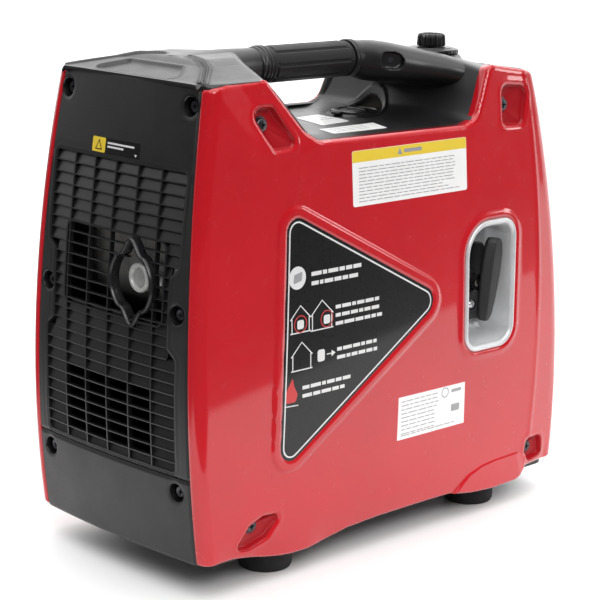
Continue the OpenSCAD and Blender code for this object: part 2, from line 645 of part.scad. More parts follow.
module heat_shield() color([0.7, 0.7, 0.71]) difference() {
  union() {
    box(-104, -102.6, -88, 88, 60, 366);
    box(-200, -103, -88, 88, 364.6, 366);
  }
  xcyl(12, -110, -95, 0, 336);
}
module rotor() color([0.4, 0.41, 0.43]) difference() {
  union() {
    difference() {
      xcyl(66, 76, 106, 0, crank_z);
      xcyl(58, 74, 101, 0, crank_z);
    }
    xcyl(18, 73, 116, 0, crank_z);
    // cooling fan blades on the front of the rotor
    for (a = [0:30:330]) translate([0, 0, crank_z]) rotate([a, 0, 0]) box(105.5, 117, -1.3, 1.3, 30, 70);
  }
  xcyl(10.56, 70, 120, 0, crank_z);
}
module stator() color([0.72, 0.42, 0.2]) difference() {
  union() {
    xcyl(36, 78, 99, 0, crank_z);
    for (a = [0:24:336]) translate([0, 0, crank_z]) rotate([a, 0, 0]) box(80, 97, -5.2, 5.2, 34, 54);
    for (a = [0:24:336]) translate([0, 0, crank_z]) rotate([a, 0, 0]) box(79, 98, -6.2, 6.2, 53, 56.5);
    xcyl(24, 72, 79, 0, crank_z);
  }
  xcyl(19.5, 70, 100, 0, crank_z);
}
module engine_mounts() color([0.04, 0.04, 0.045]) for (x = [-30, 76], k = [-1, 1]) translate([x, k * 48, 0]) {
  translate([0, 0, 33]) cylinder(r = 11, h = 37);
  translate([0, 0, 45]) cylinder(r = 14, h = 12);
}
module inverter_module() color([0.55, 0.56, 0.58]) difference() {
  box(150, 214, -70, 70, 33, 74);
  for (k = [0:12]) box(140, 220, -66 + k * 10.6, -60 + k * 10.6, 52, 80);
}
module oil_dipstick() color([0.75, 0.6, 0.1]) {
  ycyl(14, 62.3, 72, 44, 178);
  ycyl(7.9, 44, 62.4, 44, 178);
  ycyl(2.4, 10, 45, 44, 178);
}

starter_side_panel();
service_side_panel();
service_door();
door_latch();
rear_cover();
rear_grille();
rear_lower_cover();
exhaust_collar();
top_cover();
handle_grip();
plug_access_cover();
front_cover();
control_panel();
base_tray();
rubber_feet();
side_screws();
rear_screws();
triangle_decal();
rating_plate();
warning_stickers();
starter_bezel();
starter_cup();
starter_cup_screw();
starter_handle();
starter_rope();
starter_pulley();
starter_spring();
starter_housing();
fuel_tank();
fuel_cap();
fuel_vent_knob();
fuel_hose();
engine_switch_knob();
ac_sockets();
ac_lid_left();
ac_lid_right();
dc_socket();
reset_button();
eco_rocker();
indicator_lights();
ground_terminal();
crankcase();
cylinder_barrel();
cylinder_head();
valve_cover();
piston();
connecting_rod();
crankshaft();
spark_plug();
plug_cap();
carburettor();
air_filter();
muffler();
spark_arrester();
heat_shield();
rotor();
stator();
engine_mounts();
inverter_module();
oil_dipstick();
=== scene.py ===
import math

import bmesh
import bpy
import numpy as np
from mathutils import Matrix, Vector


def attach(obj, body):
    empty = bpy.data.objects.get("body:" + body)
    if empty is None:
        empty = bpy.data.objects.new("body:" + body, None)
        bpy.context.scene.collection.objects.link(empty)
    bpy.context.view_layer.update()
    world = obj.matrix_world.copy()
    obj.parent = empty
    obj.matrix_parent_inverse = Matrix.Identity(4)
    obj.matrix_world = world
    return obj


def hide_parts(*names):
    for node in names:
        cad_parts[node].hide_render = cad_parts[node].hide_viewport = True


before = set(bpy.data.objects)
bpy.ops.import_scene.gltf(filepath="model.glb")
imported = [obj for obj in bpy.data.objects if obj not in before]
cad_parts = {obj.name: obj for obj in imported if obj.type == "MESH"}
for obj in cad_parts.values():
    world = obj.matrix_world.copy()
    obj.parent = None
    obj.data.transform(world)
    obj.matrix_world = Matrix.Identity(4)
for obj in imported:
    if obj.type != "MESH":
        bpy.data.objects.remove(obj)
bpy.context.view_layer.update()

MM = 0.001
rng = np.random.default_rng(11)

# ---------------------------------------------------------------- outline
def xr(z):
    z = np.asarray(z, float)
    return -244 + np.where(z < 180, 0.00049, 0.00035) * (z - 180) ** 2


def xf(z):
    return 250 - 0.00044 * (np.asarray(z, float) - 110) ** 2


def ys(z):
    return 119 - 0.000095 * (np.asarray(z, float) - 60) ** 2


WRAP = 13.0


def smooth(a, b, x):
    t = np.clip((np.asarray(x, float) - a) / (b - a), 0, 1)
    return t * t * (3 - 2 * t)


# ---------------------------------------------------------------- materials
def nodes_of(name):
    m = bpy.data.materials.new(name)
    m.use_nodes = True
    nt = m.node_tree
    b = nt.nodes["Principled BSDF"]
    return m, nt, b


def link(nt, a, ao, b, bi):
    nt.links.new(a.outputs[ao], b.inputs[bi])


def noise(nt, scale, detail=4.0, rough=0.55, dist=0.0):
    tc = nt.nodes.get("tc") or nt.nodes.new("ShaderNodeTexCoord")
    tc.name = "tc"
    n = nt.nodes.new("ShaderNodeTexNoise")
    n.inputs["Scale"].default_value = scale
    n.inputs["Detail"].default_value = detail
    n.inputs["Roughness"].default_value = rough
    n.inputs["Distortion"].default_value = dist
    link(nt, tc, "Object", n, "Vector")
    return n


def ramp(nt, src, out, lo, hi, c0, c1):
    r = nt.nodes.new("ShaderNodeValToRGB")
    r.color_ramp.elements[0].position = lo
    r.color_ramp.elements[1].position = hi
    r.color_ramp.elements[0].color = (*c0, 1) if not np.isscalar(c0) else (c0, c0, c0, 1)
    r.color_ramp.elements[1].color = (*c1, 1) if not np.isscalar(c1) else (c1, c1, c1, 1)
    link(nt, src, out, r, "Fac")
    return r


def bump(nt, b, parts):
    last = None
    for src, out, strength, dist in parts:
        n = nt.nodes.new("ShaderNodeBump")
        n.inputs["Strength"].default_value = strength
        n.inputs["Distance"].default_value = dist
        link(nt, src, out, n, "Height")
        if last:
            link(nt, last, "Normal", n, "Normal")
        last = n
    link(nt, last, "Normal", b, "Normal")


def paint(name, col, rough=0.16, coat=1.0, peel=0.008):
    """Glossy painted or moulded skin with slight orange peel, dust and fine scuffs."""
    m, nt, b = nodes_of(name)
    big = noise(nt, 9, 5)
    c = ramp(nt, big, "Fac", 0.3, 0.75, tuple(v * 0.93 for v in col), tuple(min(1, v * 1.06) for v in col))
    link(nt, c, "Color", b, "Base Color")
    fine = noise(nt, 60, 6, 0.7)
    r = ramp(nt, fine, "Fac", 0.35, 0.8, rough * 0.8, rough * 1.7)
    link(nt, r, "Color", b, "Roughness")
    b.inputs["Coat Weight"].default_value = coat
    b.inputs["Coat Roughness"].default_value = 0.035
    b.inputs["Coat IOR"].default_value = 1.48
    b.inputs["IOR"].default_value = 1.48
    b.inputs["Specular IOR Level"].default_value = 0.22
    peel_n = noise(nt, 300, 1)
    wave = noise(nt, 14, 1)
    bump(nt, b, [(peel_n, "Fac", peel, 0.0004), (wave, "Fac", 0.04, 0.0012)])
    return m


def plastic(name, col, rough=0.5, grain=900, depth=0.35, spec=0.45):
    """Spark-eroded moulded plastic: fine grain, faint handling marks and dust."""
    m, nt, b = nodes_of(name)
    big = noise(nt, 14, 6, 0.6)
    c = ramp(nt, big, "Fac", 0.25, 0.8, tuple(v * 0.82 for v in col), tuple(v * 1.22 for v in col))
    link(nt, c, "Color", b, "Base Color")
    med = noise(nt, 38, 5, 0.7)
    r = ramp(nt, med, "Fac", 0.3, 0.8, rough * 0.82, min(1, rough * 1.2))
    link(nt, r, "Color", b, "Roughness")
    b.inputs["Specular IOR Level"].default_value = spec
    b.inputs["IOR"].default_value = 1.5
    g = noise(nt, grain, 3, 0.7)
    v = nt.nodes.new("ShaderNodeTexVoronoi")
    v.inputs["Scale"].default_value = grain * 1.3
    link(nt, nt.nodes["tc"], "Object", v, "Vector")
    bump(nt, b, [(g, "Fac", depth, 0.00035), (v, "Distance", depth * 0.5, 0.00025)])
    return m


def metal(name, col, rough=0.32, axis=2, brushed=True, cast=False):
    m, nt, b = nodes_of(name)
    b.inputs["Metallic"].default_value = 1.0
    tc = nt.nodes.new("ShaderNodeTexCoord")
    tc.name = "tc"
    mp = nt.nodes.new("ShaderNodeMapping")
    sc = [900, 900, 900]
    sc[axis] = 12
    mp.inputs["Scale"].default_value = sc if brushed else (160, 160, 160)
    link(nt, tc, "Object", mp, "Vector")
    n = nt.nodes.new("ShaderNodeTexNoise")
    n.inputs["Scale"].default_value = 1.0
    n.inputs["Detail"].default_value = 6
    link(nt, mp, "Vector", n, "Vector")
    big = noise(nt, 22, 5, 0.65)
    c = ramp(nt, big, "Fac", 0.3, 0.75, tuple(v * 0.8 for v in col), tuple(min(1, v * 1.1) for v in col))
    link(nt, c, "Color", b, "Base Color")
    r = ramp(nt, n, "Fac", 0.25, 0.8, rough * 0.7, rough * 1.5)
    link(nt, r, "Color", b, "Roughness")
    parts = [(n, "Fac", 0.18 if not cast else 0.5, 0.0003)]
    if cast:
        g = noise(nt, 520, 4, 0.7)
        parts.append((g, "Fac", 0.5, 0.0005))
    bump(nt, b, parts)
    return m


def rubber(name, col, rough=0.72, grain=500):
    m = plastic(name, col, rough, grain, 0.5, 0.3)
    return m


def printed(name, col, rough=0.38):
    """Printed film: a faint paper tooth, slight variation in tone and a laminate sheen."""
    m, nt, b = nodes_of(name)
    big = noise(nt, 30, 4)
    c = ramp(nt, big, "Fac", 0.3, 0.8, tuple(v * 0.96 for v in col), tuple(min(1, v * 1.02) for v in col))
    link(nt, c, "Color", b, "Base Color")
    fine = noise(nt, 300, 3)
    r = ramp(nt, fine, "Fac", 0.3, 0.7, rough * 0.85, rough * 1.2)
    link(nt, r, "Color", b, "Roughness")
    b.inputs["Coat Weight"].default_value = 0.35
    b.inputs["Coat Roughness"].default_value = 0.12
    bump(nt, b, [(fine, "Fac", 0.015, 0.0003)])
    return m


RED = paint("red_paint", (0.56, 0.007, 0.015), 0.2)
# darker red for the screw pockets: the darker colour is painted shade in these recesses; the rougher, thinly coated
# finish is the pockets' own
RED_IN = paint("red_pocket_painted_shade", (0.40, 0.004, 0.010), 0.42, 0.25)
BLACK = plastic("black_plastic", (0.011, 0.011, 0.012), 0.42, 850, 0.34, 0.5)
BLACK_TOP = plastic("black_top", (0.010, 0.010, 0.011), 0.34, 900, 0.26, 0.55)
LOUVRE = plastic("black_louvre", (0.008, 0.008, 0.009), 0.33, 620, 0.3, 0.6)
TRIM = plastic("black_trim", (0.007, 0.007, 0.008), 0.30, 700, 0.2, 0.55)
PANEL = plastic("panel_plastic", (0.05, 0.052, 0.056), 0.4, 700, 0.25)
SOCKET = plastic("socket_plastic", (0.035, 0.035, 0.038), 0.35, 600, 0.12)
PULL = rubber("pull_rubber", (0.026, 0.026, 0.027), 0.46, 260)
GRIP = rubber("grip_rubber", (0.014, 0.014, 0.015), 0.5, 420)
FOOT = rubber("foot_rubber", (0.012, 0.012, 0.013), 0.68, 350)
# near-black for the side skins' inner faces: painted shade, since the moulded red skin would be red inside too
INNER_PAINTED_SHADE = plastic("skin_inside_painted_shade", (0.006, 0.006, 0.006), 0.8, 260, 0.5, 0.2)
SILVER = plastic("silver_plastic", (0.70, 0.71, 0.72), 0.34, 1500, 0.02)
SILVER.node_tree.nodes["Principled BSDF"].inputs["Metallic"].default_value = 0.35
SCREW = metal("black_screw", (0.10, 0.10, 0.11), 0.35, brushed=False)
STEEL = metal("brushed_steel", (0.55, 0.55, 0.56), 0.3, 2)
STEEL_BRIGHT = metal("bright_steel", (0.82, 0.82, 0.83), 0.28, 1)
ALLOY = metal("cast_alloy", (0.56, 0.57, 0.58), 0.48, brushed=False, cast=True)
IRON = metal("machined_iron", (0.25, 0.25, 0.26), 0.4, 0)
BRASS = metal("brass", (0.72, 0.52, 0.22), 0.28, 0)
COPPER = metal("copper_winding", (0.62, 0.27, 0.12), 0.35, 0)
TANK = plastic("tank_plastic", (0.55, 0.53, 0.47), 0.45, 300, 0.25)
WHITE = printed("label_white", (0.95, 0.95, 0.94))
YELLOW = printed("label_yellow", (0.86, 0.62, 0.03))
GREY_INK = printed("label_grey_ink", (0.34, 0.34, 0.35))
LIGHT_INK = printed("label_light_ink", (0.78, 0.78, 0.78))
RED_INK = printed("label_red_ink", (0.62, 0.03, 0.03))
BLACK_FILM = printed("label_black", (0.004, 0.004, 0.0045), 0.3)
BLACK_FILM.node_tree.nodes["Principled BSDF"].inputs["Specular IOR Level"].default_value = 0.2
BLACK_FILM.node_tree.nodes["Principled BSDF"].inputs["Coat Weight"].default_value = 0.5
BLACK_FILM.node_tree.nodes["Principled BSDF"].inputs["Coat Roughness"].default_value = 0.06
SIGNAL = paint("signal_red", (0.55, 0.02, 0.015), 0.25)
# muffler steel with painted shade: its colour drops to a twenty-fifth towards the canister's bottom, standing in for
# the shade inside the housing
MUFFLER_PAINTED_SHADE = metal("steel_painted_shade_low", (0.42, 0.41, 0.39), 0.32, 2)
_nt = MUFFLER_PAINTED_SHADE.node_tree
_b = _nt.nodes["Principled BSDF"]
_sx = _nt.nodes.new("ShaderNodeSeparateXYZ")
link(_nt, _nt.nodes["tc"], "Object", _sx, "Vector")
_mr = _nt.nodes.new("ShaderNodeMapRange")
_mr.inputs["From Min"].default_value = 0.252
_mr.inputs["From Max"].default_value = 0.272
_mr.inputs["To Min"].default_value = 0.04
_mr.inputs["To Max"].default_value = 1.0
link(_nt, _sx, "Z", _mr, "Value")
_old = _b.inputs["Base Color"].links[0].from_socket
_mx = _nt.nodes.new("ShaderNodeVectorMath")
_mx.operation = "SCALE"
_nt.links.new(_old, _mx.inputs[0])
_nt.links.new(_mr.outputs["Result"], _mx.inputs["Scale"])
_nt.links.new(_mx.outputs["Vector"], _b.inputs["Base Color"])
SATIN = plastic("satin_steel", (0.78, 0.78, 0.76), 0.34, 900, 0.1)
SATIN.node_tree.nodes["Principled BSDF"].inputs["Metallic"].default_value = 0.35
CERAMIC = paint("ceramic", (0.8, 0.79, 0.75), 0.15)
YPLAST = paint("yellow_plastic", (0.75, 0.5, 0.04), 0.3)
ROPE = rubber("rope_fibre", (0.5, 0.47, 0.38), 0.8, 260)


def lens(name, col):
    m, nt, b = nodes_of(name)
    n = noise(nt, 120, 3)
    c = ramp(nt, n, "Fac", 0.3, 0.7, tuple(v * 0.85 for v in col), col)
    link(nt, c, "Color", b, "Base Color")
    b.inputs["Roughness"].default_value = 0.12
    b.inputs["Transmission Weight"].default_value = 0.35
    b.inputs["Emission Color"].default_value = (*col, 1)
    b.inputs["Emission Strength"].default_value = 0.05
    bump(nt, b, [(n, "Fac", 0.08, 0.0003)])
    return m


LENS_G = lens("lens_green", (0.08, 0.55, 0.16))
LENS_R = lens("lens_red", (0.6, 0.05, 0.03))
LENS_Y = lens("lens_yellow", (0.7, 0.45, 0.05))

# ---------------------------------------------------------------- mesh tools
def make(name, verts, faces, mat, shade=True, auto=35):
    me = bpy.data.meshes.new(name)
    v = np.asarray(verts, float) * MM
    me.from_pydata([tuple(p) for p in v.tolist()], [], [tuple(int(i) for i in f) for f in faces])
    me.validate()
    me.update()
    ob = bpy.data.objects.new(name, me)
    bpy.context.scene.collection.objects.link(ob)
    if mat:
        me.materials.append(mat)
    if shade:
        me.shade_smooth()
        if auto:
            sharp_edges(ob, auto)
    return ob


def sharp_edges(ob, deg):
    me = ob.data
    bm = bmesh.new()
    bm.from_mesh(me)
    lim = math.radians(deg)
    for e in bm.edges:
        e.smooth = not (len(e.link_faces) == 2 and e.calc_face_angle(0) > lim)
    for f in bm.faces:
        f.smooth = True
    bm.to_mesh(me)
    bm.free()


def bake(ob):
    """Applies every modifier."""
    dg = bpy.context.evaluated_depsgraph_get()
    dg.update()
    me = bpy.data.meshes.new_from_object(ob.evaluated_get(dg), depsgraph=dg)
    ob.modifiers.clear()
    old = ob.data
    ob.data = me
    me.name = ob.name
    bpy.data.meshes.remove(old)
    return ob


def cut(ob, cutters, op="DIFFERENCE", solver="EXACT", once=False):
    if once:
        cutters = [join("cutters", cutters)]
    for c in cutters:
        m = ob.modifiers.new("cut", "BOOLEAN")
        m.operation = op
        m.object = c
        m.solver = solver
    bake(ob)
    for c in cutters:
        bpy.data.objects.remove(c)
    return ob


def join(name, obs):
    """Joins meshes, keeping their materials."""
    bm = bmesh.new()
    mats = []
    for o in obs:
        start = len(bm.faces)
        bm.from_mesh(o.data)
        bm.faces.ensure_lookup_table()
        remap = []
        for mt in o.data.materials:
            if mt not in mats:
                mats.append(mt)
            remap.append(mats.index(mt))
        for f in bm.faces[start:]:
            f.material_index = remap[f.material_index] if remap else 0
    me = bpy.data.meshes.new(name)
    bm.to_mesh(me)
    bm.free()
    for mt in mats:
        me.materials.append(mt)
    for o in obs:
        bpy.data.objects.remove(o)
    ob = bpy.data.objects.new(name, me)
    bpy.context.scene.collection.objects.link(ob)
    return ob


def finish_piece(ob, body, nodes=()):
    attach(ob, body)
    if nodes:
        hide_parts(*nodes)
    return ob


def prism(outline, axis, a, b, name="cutter", mat=None):
    """Extrudes a closed 2-D outline along x, y or z. The outline is in the other two axes, in order."""
    o = np.asarray(outline, float)
    n = len(o)
    v = []
    for t in (a, b):
        for p in o:
            q = list(p)
            q.insert("xyz".index(axis), t)
            v.append(q)
    f = [tuple(range(n)), tuple(range(2 * n - 1, n - 1, -1))]
    f += [(i, n + i, n + (i + 1) % n, (i + 1) % n) for i in range(n)]
    ob = make(name, v, f, mat, shade=False)
    bm = bmesh.new()
    bm.from_mesh(ob.data)
    bmesh.ops.recalc_face_normals(bm, faces=bm.faces)
    bm.to_mesh(ob.data)
    bm.free()
    return ob


def rounded(pts, radii, n=7):
    """Closed polygon with each corner rounded."""
    pts = [np.array(p, float) for p in pts]
    m = len(pts)
    if np.isscalar(radii):
        radii = [radii] * m
    out = []
    for i in range(m):
        p, a, b = pts[i], pts[i - 1], pts[(i + 1) % m]
        u = (a - p) / np.linalg.norm(a - p)
        w = (b - p) / np.linalg.norm(b - p)
        ang = math.acos(np.clip(np.dot(u, w), -1, 1))
        t = min(radii[i] / math.tan(ang / 2), 0.48 * np.linalg.norm(a - p), 0.48 * np.linalg.norm(b - p))
        r = t * math.tan(ang / 2)
        c = p + (u + w) / np.linalg.norm(u + w) * r / math.sin(ang / 2)
        s, e = p + u * t - c, p + w * t - c
        a0 = math.atan2(s[1], s[0])
        d = (math.atan2(e[1], e[0]) - a0 + math.pi) % (2 * math.pi) - math.pi
        for k in range(n + 1):
            q = a0 + d * k / n
            out.append(c + r * np.array([math.cos(q), math.sin(q)]))
    return np.array(out)


def rrect(w, h, r, cx=0, cy=0, n=7):
    return rounded([(cx - w / 2, cy - h / 2), (cx + w / 2, cy - h / 2), (cx + w / 2, cy + h / 2), (cx - w / 2, cy + h / 2)], r, n)


def circle(r, cx=0, cy=0, n=48):
    a = np.linspace(0, 2 * math.pi, n, endpoint=False)
    return np.stack([cx + r * np.cos(a), cy + r * np.sin(a)], 1)


def resample(poly, step):
    poly = np.asarray(poly, float)
    p = np.vstack([poly, poly[:1]])
    d = np.r_[0, np.cumsum(np.linalg.norm(np.diff(p, axis=0), axis=1))]
    n = max(8, int(d[-1] / step))
    t = np.linspace(0, d[-1], n, endpoint=False)
    return np.stack([np.interp(t, d, p[:, 0]), np.interp(t, d, p[:, 1])], 1)


def offset(poly, d):
    """Moves a closed counter-clockwise outline outwards by d."""
    poly = np.asarray(poly, float)
    t = np.roll(poly, -1, 0) - np.roll(poly, 1, 0)
    t /= np.linalg.norm(t, axis=1)[:, None] + 1e-9
    area = np.sum(poly[:, 0] * np.roll(poly[:, 1], -1) - np.roll(poly[:, 0], -1) * poly[:, 1])
    s = 1 if area > 0 else -1
    return poly + s * d * np.stack([t[:, 1], -t[:, 0]], 1)


def sdist(P, poly):
    """Signed distance of points to a closed outline, negative inside."""
    P = np.asarray(P, float)
    best = np.full(len(P), 1e9)
    inside = np.zeros(len(P), bool)
    a = np.asarray(poly, float)
    b = np.roll(a, -1, 0)
    for p, q in zip(a, b):
        e = q - p
        w = P - p
        t = np.clip((w @ e) / (e @ e + 1e-12), 0, 1)
        best = np.minimum(best, np.hypot(*(w - t[:, None] * e).T))
        c = (p[1] > P[:, 1]) != (q[1] > P[:, 1])
        with np.errstate(divide="ignore", invalid="ignore"):
            xx = p[0] + (P[:, 1] - p[1]) * e[0] / (e[1] if abs(e[1]) > 1e-9 else 1e-9)
        inside ^= c & (P[:, 0] < xx)
    return np.where(inside, -best, best)


def grid_solid(name, O, N, mat, inside=None):
    """Closed wall between two matching grids of points, shape (rows, columns, 3)."""
    r, c = O.shape[:2]
    v = np.vstack([O.reshape(-1, 3), N.reshape(-1, 3)])
    k = r * c
    i, j = np.meshgrid(np.arange(r - 1), np.arange(c - 1), indexing="ij")
    a = (i * c + j).ravel()
    out = np.stack([a, a + c, a + c + 1, a + 1], 1)[:, ::-1]
    inn = np.stack([a, a + 1, a + c + 1, a + c], 1)[:, ::-1] + k
    J = np.arange(c - 1)
    I = np.arange(r - 1)
    bot = np.stack([J, J + 1, J + 1 + k, J + k], 1)[:, ::-1]
    top = np.stack([(r - 1) * c + J + 1, (r - 1) * c + J, (r - 1) * c + J + k, (r - 1) * c + J + 1 + k], 1)[:, ::-1]
    lef = np.stack([(I + 1) * c, I * c, I * c + k, (I + 1) * c + k], 1)[:, ::-1]
    rig = np.stack([I * c + c - 1, (I + 1) * c + c - 1, (I + 1) * c + c - 1 + k, I * c + c - 1 + k], 1)[:, ::-1]
    ob = make(name, v, np.vstack([out, inn, bot, top, lef, rig]), mat, auto=0)
    if inside:
        ob.data.materials.append(inside)
        idx = np.zeros(len(ob.data.polygons), int)
        idx[len(out):2 * len(out)] = 1
        ob.data.polygons.foreach_set("material_index", idx)
    return ob


def sweep(name, path, prof, up, mat, closed=True):
    """Sweeps a closed profile (u sideways, v along up) round a path in space. up is one vector or one for each point."""
    path = np.asarray(path, float)
    n = len(path)
    t = np.roll(path, -1, 0) - np.roll(path, 1, 0)
    if not closed:
        t[0] = path[1] - path[0]
        t[-1] = path[-1] - path[-2]
    t /= np.linalg.norm(t, axis=1)[:, None]
    up = np.broadcast_to(np.asarray(up, float), path.shape)
    side = np.cross(t, up)
    side /= np.linalg.norm(side, axis=1)[:, None]
    u2 = np.cross(side, t)
    prof = np.asarray(prof, float)
    m = len(prof)
    v = (path[:, None] + side[:, None] * prof[None, :, :1] + u2[:, None] * prof[None, :, 1:]).reshape(-1, 3)
    f = []
    for i in range(n if closed else n - 1):
        i2 = (i + 1) % n
        for j in range(m):
            j2 = (j + 1) % m
            f.append((i * m + j, i2 * m + j, i2 * m + j2, i * m + j2))
    if not closed:
        f.append(tuple(range(m)))
        f.append(tuple(range((n - 1) * m + m - 1, (n - 1) * m - 1, -1)))
    ob = make(name, v, f, mat, shade=False)
    bm = bmesh.new()
    bm.from_mesh(ob.data)
    bmesh.ops.recalc_face_normals(bm, faces=bm.faces)
    bm.to_mesh(ob.data)
    bm.free()
    ob.data.shade_smooth()
    sharp_edges(ob, 50)
    return ob


def lathe(name, prof, axis, centre, mat, n=64, auto=35, tilt=None):
    """Turns a profile of (radius, height) about an axis. Closed at both ends where the radius is 0."""
    prof = np.asarray(prof, float)
    a = np.linspace(0, 2 * math.pi, n, endpoint=False)
    m = len(prof)
    r, h = prof[:, 0], prof[:, 1]
    pts = np.zeros((n, m, 3))
    pts[..., 0] = r[None] * np.cos(a)[:, None]
    pts[..., 1] = r[None] * np.sin(a)[:, None]
    pts[..., 2] = h[None]
    v = pts.reshape(-1, 3)
    f = []
    for i in range(n):
        i2 = (i + 1) % n
        for j in range(m - 1):
            f.append((i * m + j, i2 * m + j, i2 * m + j + 1, i * m + j + 1))
    M = {"z": np.eye(3), "x": np.array([[0, 0, 1], [0, 1, 0], [-1, 0, 0]]), "-x": np.array([[0, 0, -1], [0, 1, 0], [1, 0, 0]]),
         "y": np.array([[1, 0, 0], [0, 0, 1], [0, -1, 0]]), "-y": np.array([[1, 0, 0], [0, 0, -1], [0, 1, 0]])}[axis]
    v = v @ M.T + np.asarray(centre, float)
    ob = make(name, v, f, mat, shade=False)
    bm = bmesh.new()
    bm.from_mesh(ob.data)
    bmesh.ops.remove_doubles(bm, verts=bm.verts, dist=1e-6)
    bmesh.ops.recalc_face_normals(bm, faces=bm.faces)
    bm.to_mesh(ob.data)
    bm.free()
    ob.data.shade_smooth()
    sharp_edges(ob, auto)
    if tilt is not None:
        ob.data.transform(tilt)
    return ob


# the control panel's own frame: x out of the panel, y across, z up it
TILT = math.radians(8.5)
PANEL_M = Matrix.Translation((226 * MM, 0, 280 * MM)) @ Matrix.Rotation(-TILT, 4, "Y")


def soft(ob, width=0.8, seg=3, angle=40):
    m = ob.modifiers.new("bevel", "BEVEL")
    m.width = width * MM
    m.segments = seg
    m.limit_method = "ANGLE"
    m.angle_limit = math.radians(angle)
    m.use_clamp_overlap = True
    bake(ob)
    ob.data.shade_smooth()
    sharp_edges(ob, 30)
    return ob


def plate(name, outline, axis, a, b, mat, r=0.8, seg=3):
    """Extruded outline with rounded edges."""
    return soft(prism(outline, axis, a, b, name, mat), r, seg)


# ---------------------------------------------------------------- side panels
NOTCH = rounded([(-262, 437), (-221, 443), (-200, 445.8), (-155.5, 446.8), (-112, 400), (-94, 390), (97, 388.5), (112, 393.5), (120, 412), (130.5, 440), (137, 442.6),
                 (203, 432.4), (222, 428), (285, 424), (285, 560), (-262, 560)], [1, 8, 8, 4, 22, 18, 12, 16, 30, 6, 4, 8, 8, 1, 1, 1], 8)
BEZEL = rounded([(97.5, 169), (167, 169), (168.5, 294), (96.5, 294)], [17, 20, 17, 33], 12)
TRI = rounded([(-139, 336), (66, 230), (-149, 97)], [14, 15, 14], 12)
POCKETS = {
    "rt": (rounded([(-177, 424), (-150, 424), (-121, 388), (-150, 386)], [7, 6, 5, 5], 6), (-160, 409), (30, 9)),
    "ft": (rounded([(148, 424), (181, 421), (186, 412), (181, 382), (150, 383)], [8, 8, 6, 7, 7], 6), (156, 403), (18, 9)),
    "rb": (rounded([(-198, 40), (-182, 60), (-166, 66), (-142, 64), (-160, 44), (-182, 38)], [4, 8, 8, 5, 8, 6], 6), (-176, 57), (14, 9)),
    "fb": (rounded([(197, 64), (221, 62), (223, 42), (204, 39), (195, 48)], [6, 5, 5, 5, 6], 6), (203, 53), (10, 9)),
}


def bottom_z(x):
    """Lower edge of the side skins, which hangs lower where it hoods the feet."""
    return np.interp(x, [-240, -212, -196, -178, -160, -140, -126, -108, -94, -75, -55, -15, 59, 90, 104, 118, 147, 183, 189.4, 195.2, 199.8, 240],
                     [32.6, 32.4, 31.6, 28.6, 24.8, 21.6, 20.4, 20.2, 21.0, 23.8, 27.0, 28.8, 28.7, 28.0, 25.6, 23.4, 21.2, 22.0, 24.2, 28.7, 32.8, 33.6])


def side_path(z, o, cols):
    """Plan outline of a side panel at each height: from the rear seam round to the front seam."""
    x0, x1, y = xr(z), xf(z), ys(z)
    rr = 12.0
    out = np.zeros((len(z), len(cols), 3))
    for k, s in enumerate(cols):
        kind, t = s
        if kind == "rs":
            out[:, k] = np.stack([x0 + o, -(y - WRAP) + 0 * z, z], 1)
        elif kind == "ra":
            a = t
            out[:, k] = np.stack([x0 + rr - (rr - o) * np.cos(a), -(y - rr) - (rr - o) * np.sin(a), z], 1)
        elif kind == "s":
            out[:, k] = np.stack([x0 + rr + t * (x1 - 16 - x0 - rr), -(y - o), z], 1)
        elif kind == "fa":
            a = t
            out[:, k] = np.stack([x1 - 16 + (16 - o) * np.sin(a), -(y - 16) - (16 - o) * np.cos(a), z], 1)
        else:
            out[:, k] = np.stack([x1 - o, -(y - WRAP - 4.5), z], 1)
    return out


COLS = [("rs", 0)] + [("ra", a) for a in np.linspace(0.02, math.pi / 2, 12)] + [("s", t) for t in np.linspace(0, 1, 290)[1:-1]] \
    + [("fa", a) for a in np.linspace(0, math.pi / 2 - 0.02, 14)] + [("fs", 0)]
LEVELS = np.concatenate([np.linspace(17, 60, 44)[:-1], np.linspace(60, 450, 235)])


def rolled(x, z):
    """Rolled top and bottom edges of a side skin."""
    P = np.stack([x, z], 1)
    e = np.clip(sdist(P, NOTCH), 0, 3.6)
    d = 3.6 - np.sqrt(np.maximum(0, 3.6 ** 2 - (3.6 - e) ** 2))
    b = np.clip(z - bottom_z(x), 0, 3)
    return d + 3 - np.sqrt(np.maximum(0, 9 - (3 - b) ** 2))


HOOD = np.array([(84, 4), (90.6, 28), (100.4, 36.4), (110.4, 43.4), (128.7, 49.0), (149.9, 51.0), (187, 51.6), (201.5, 33), (201.5, 4)], float)


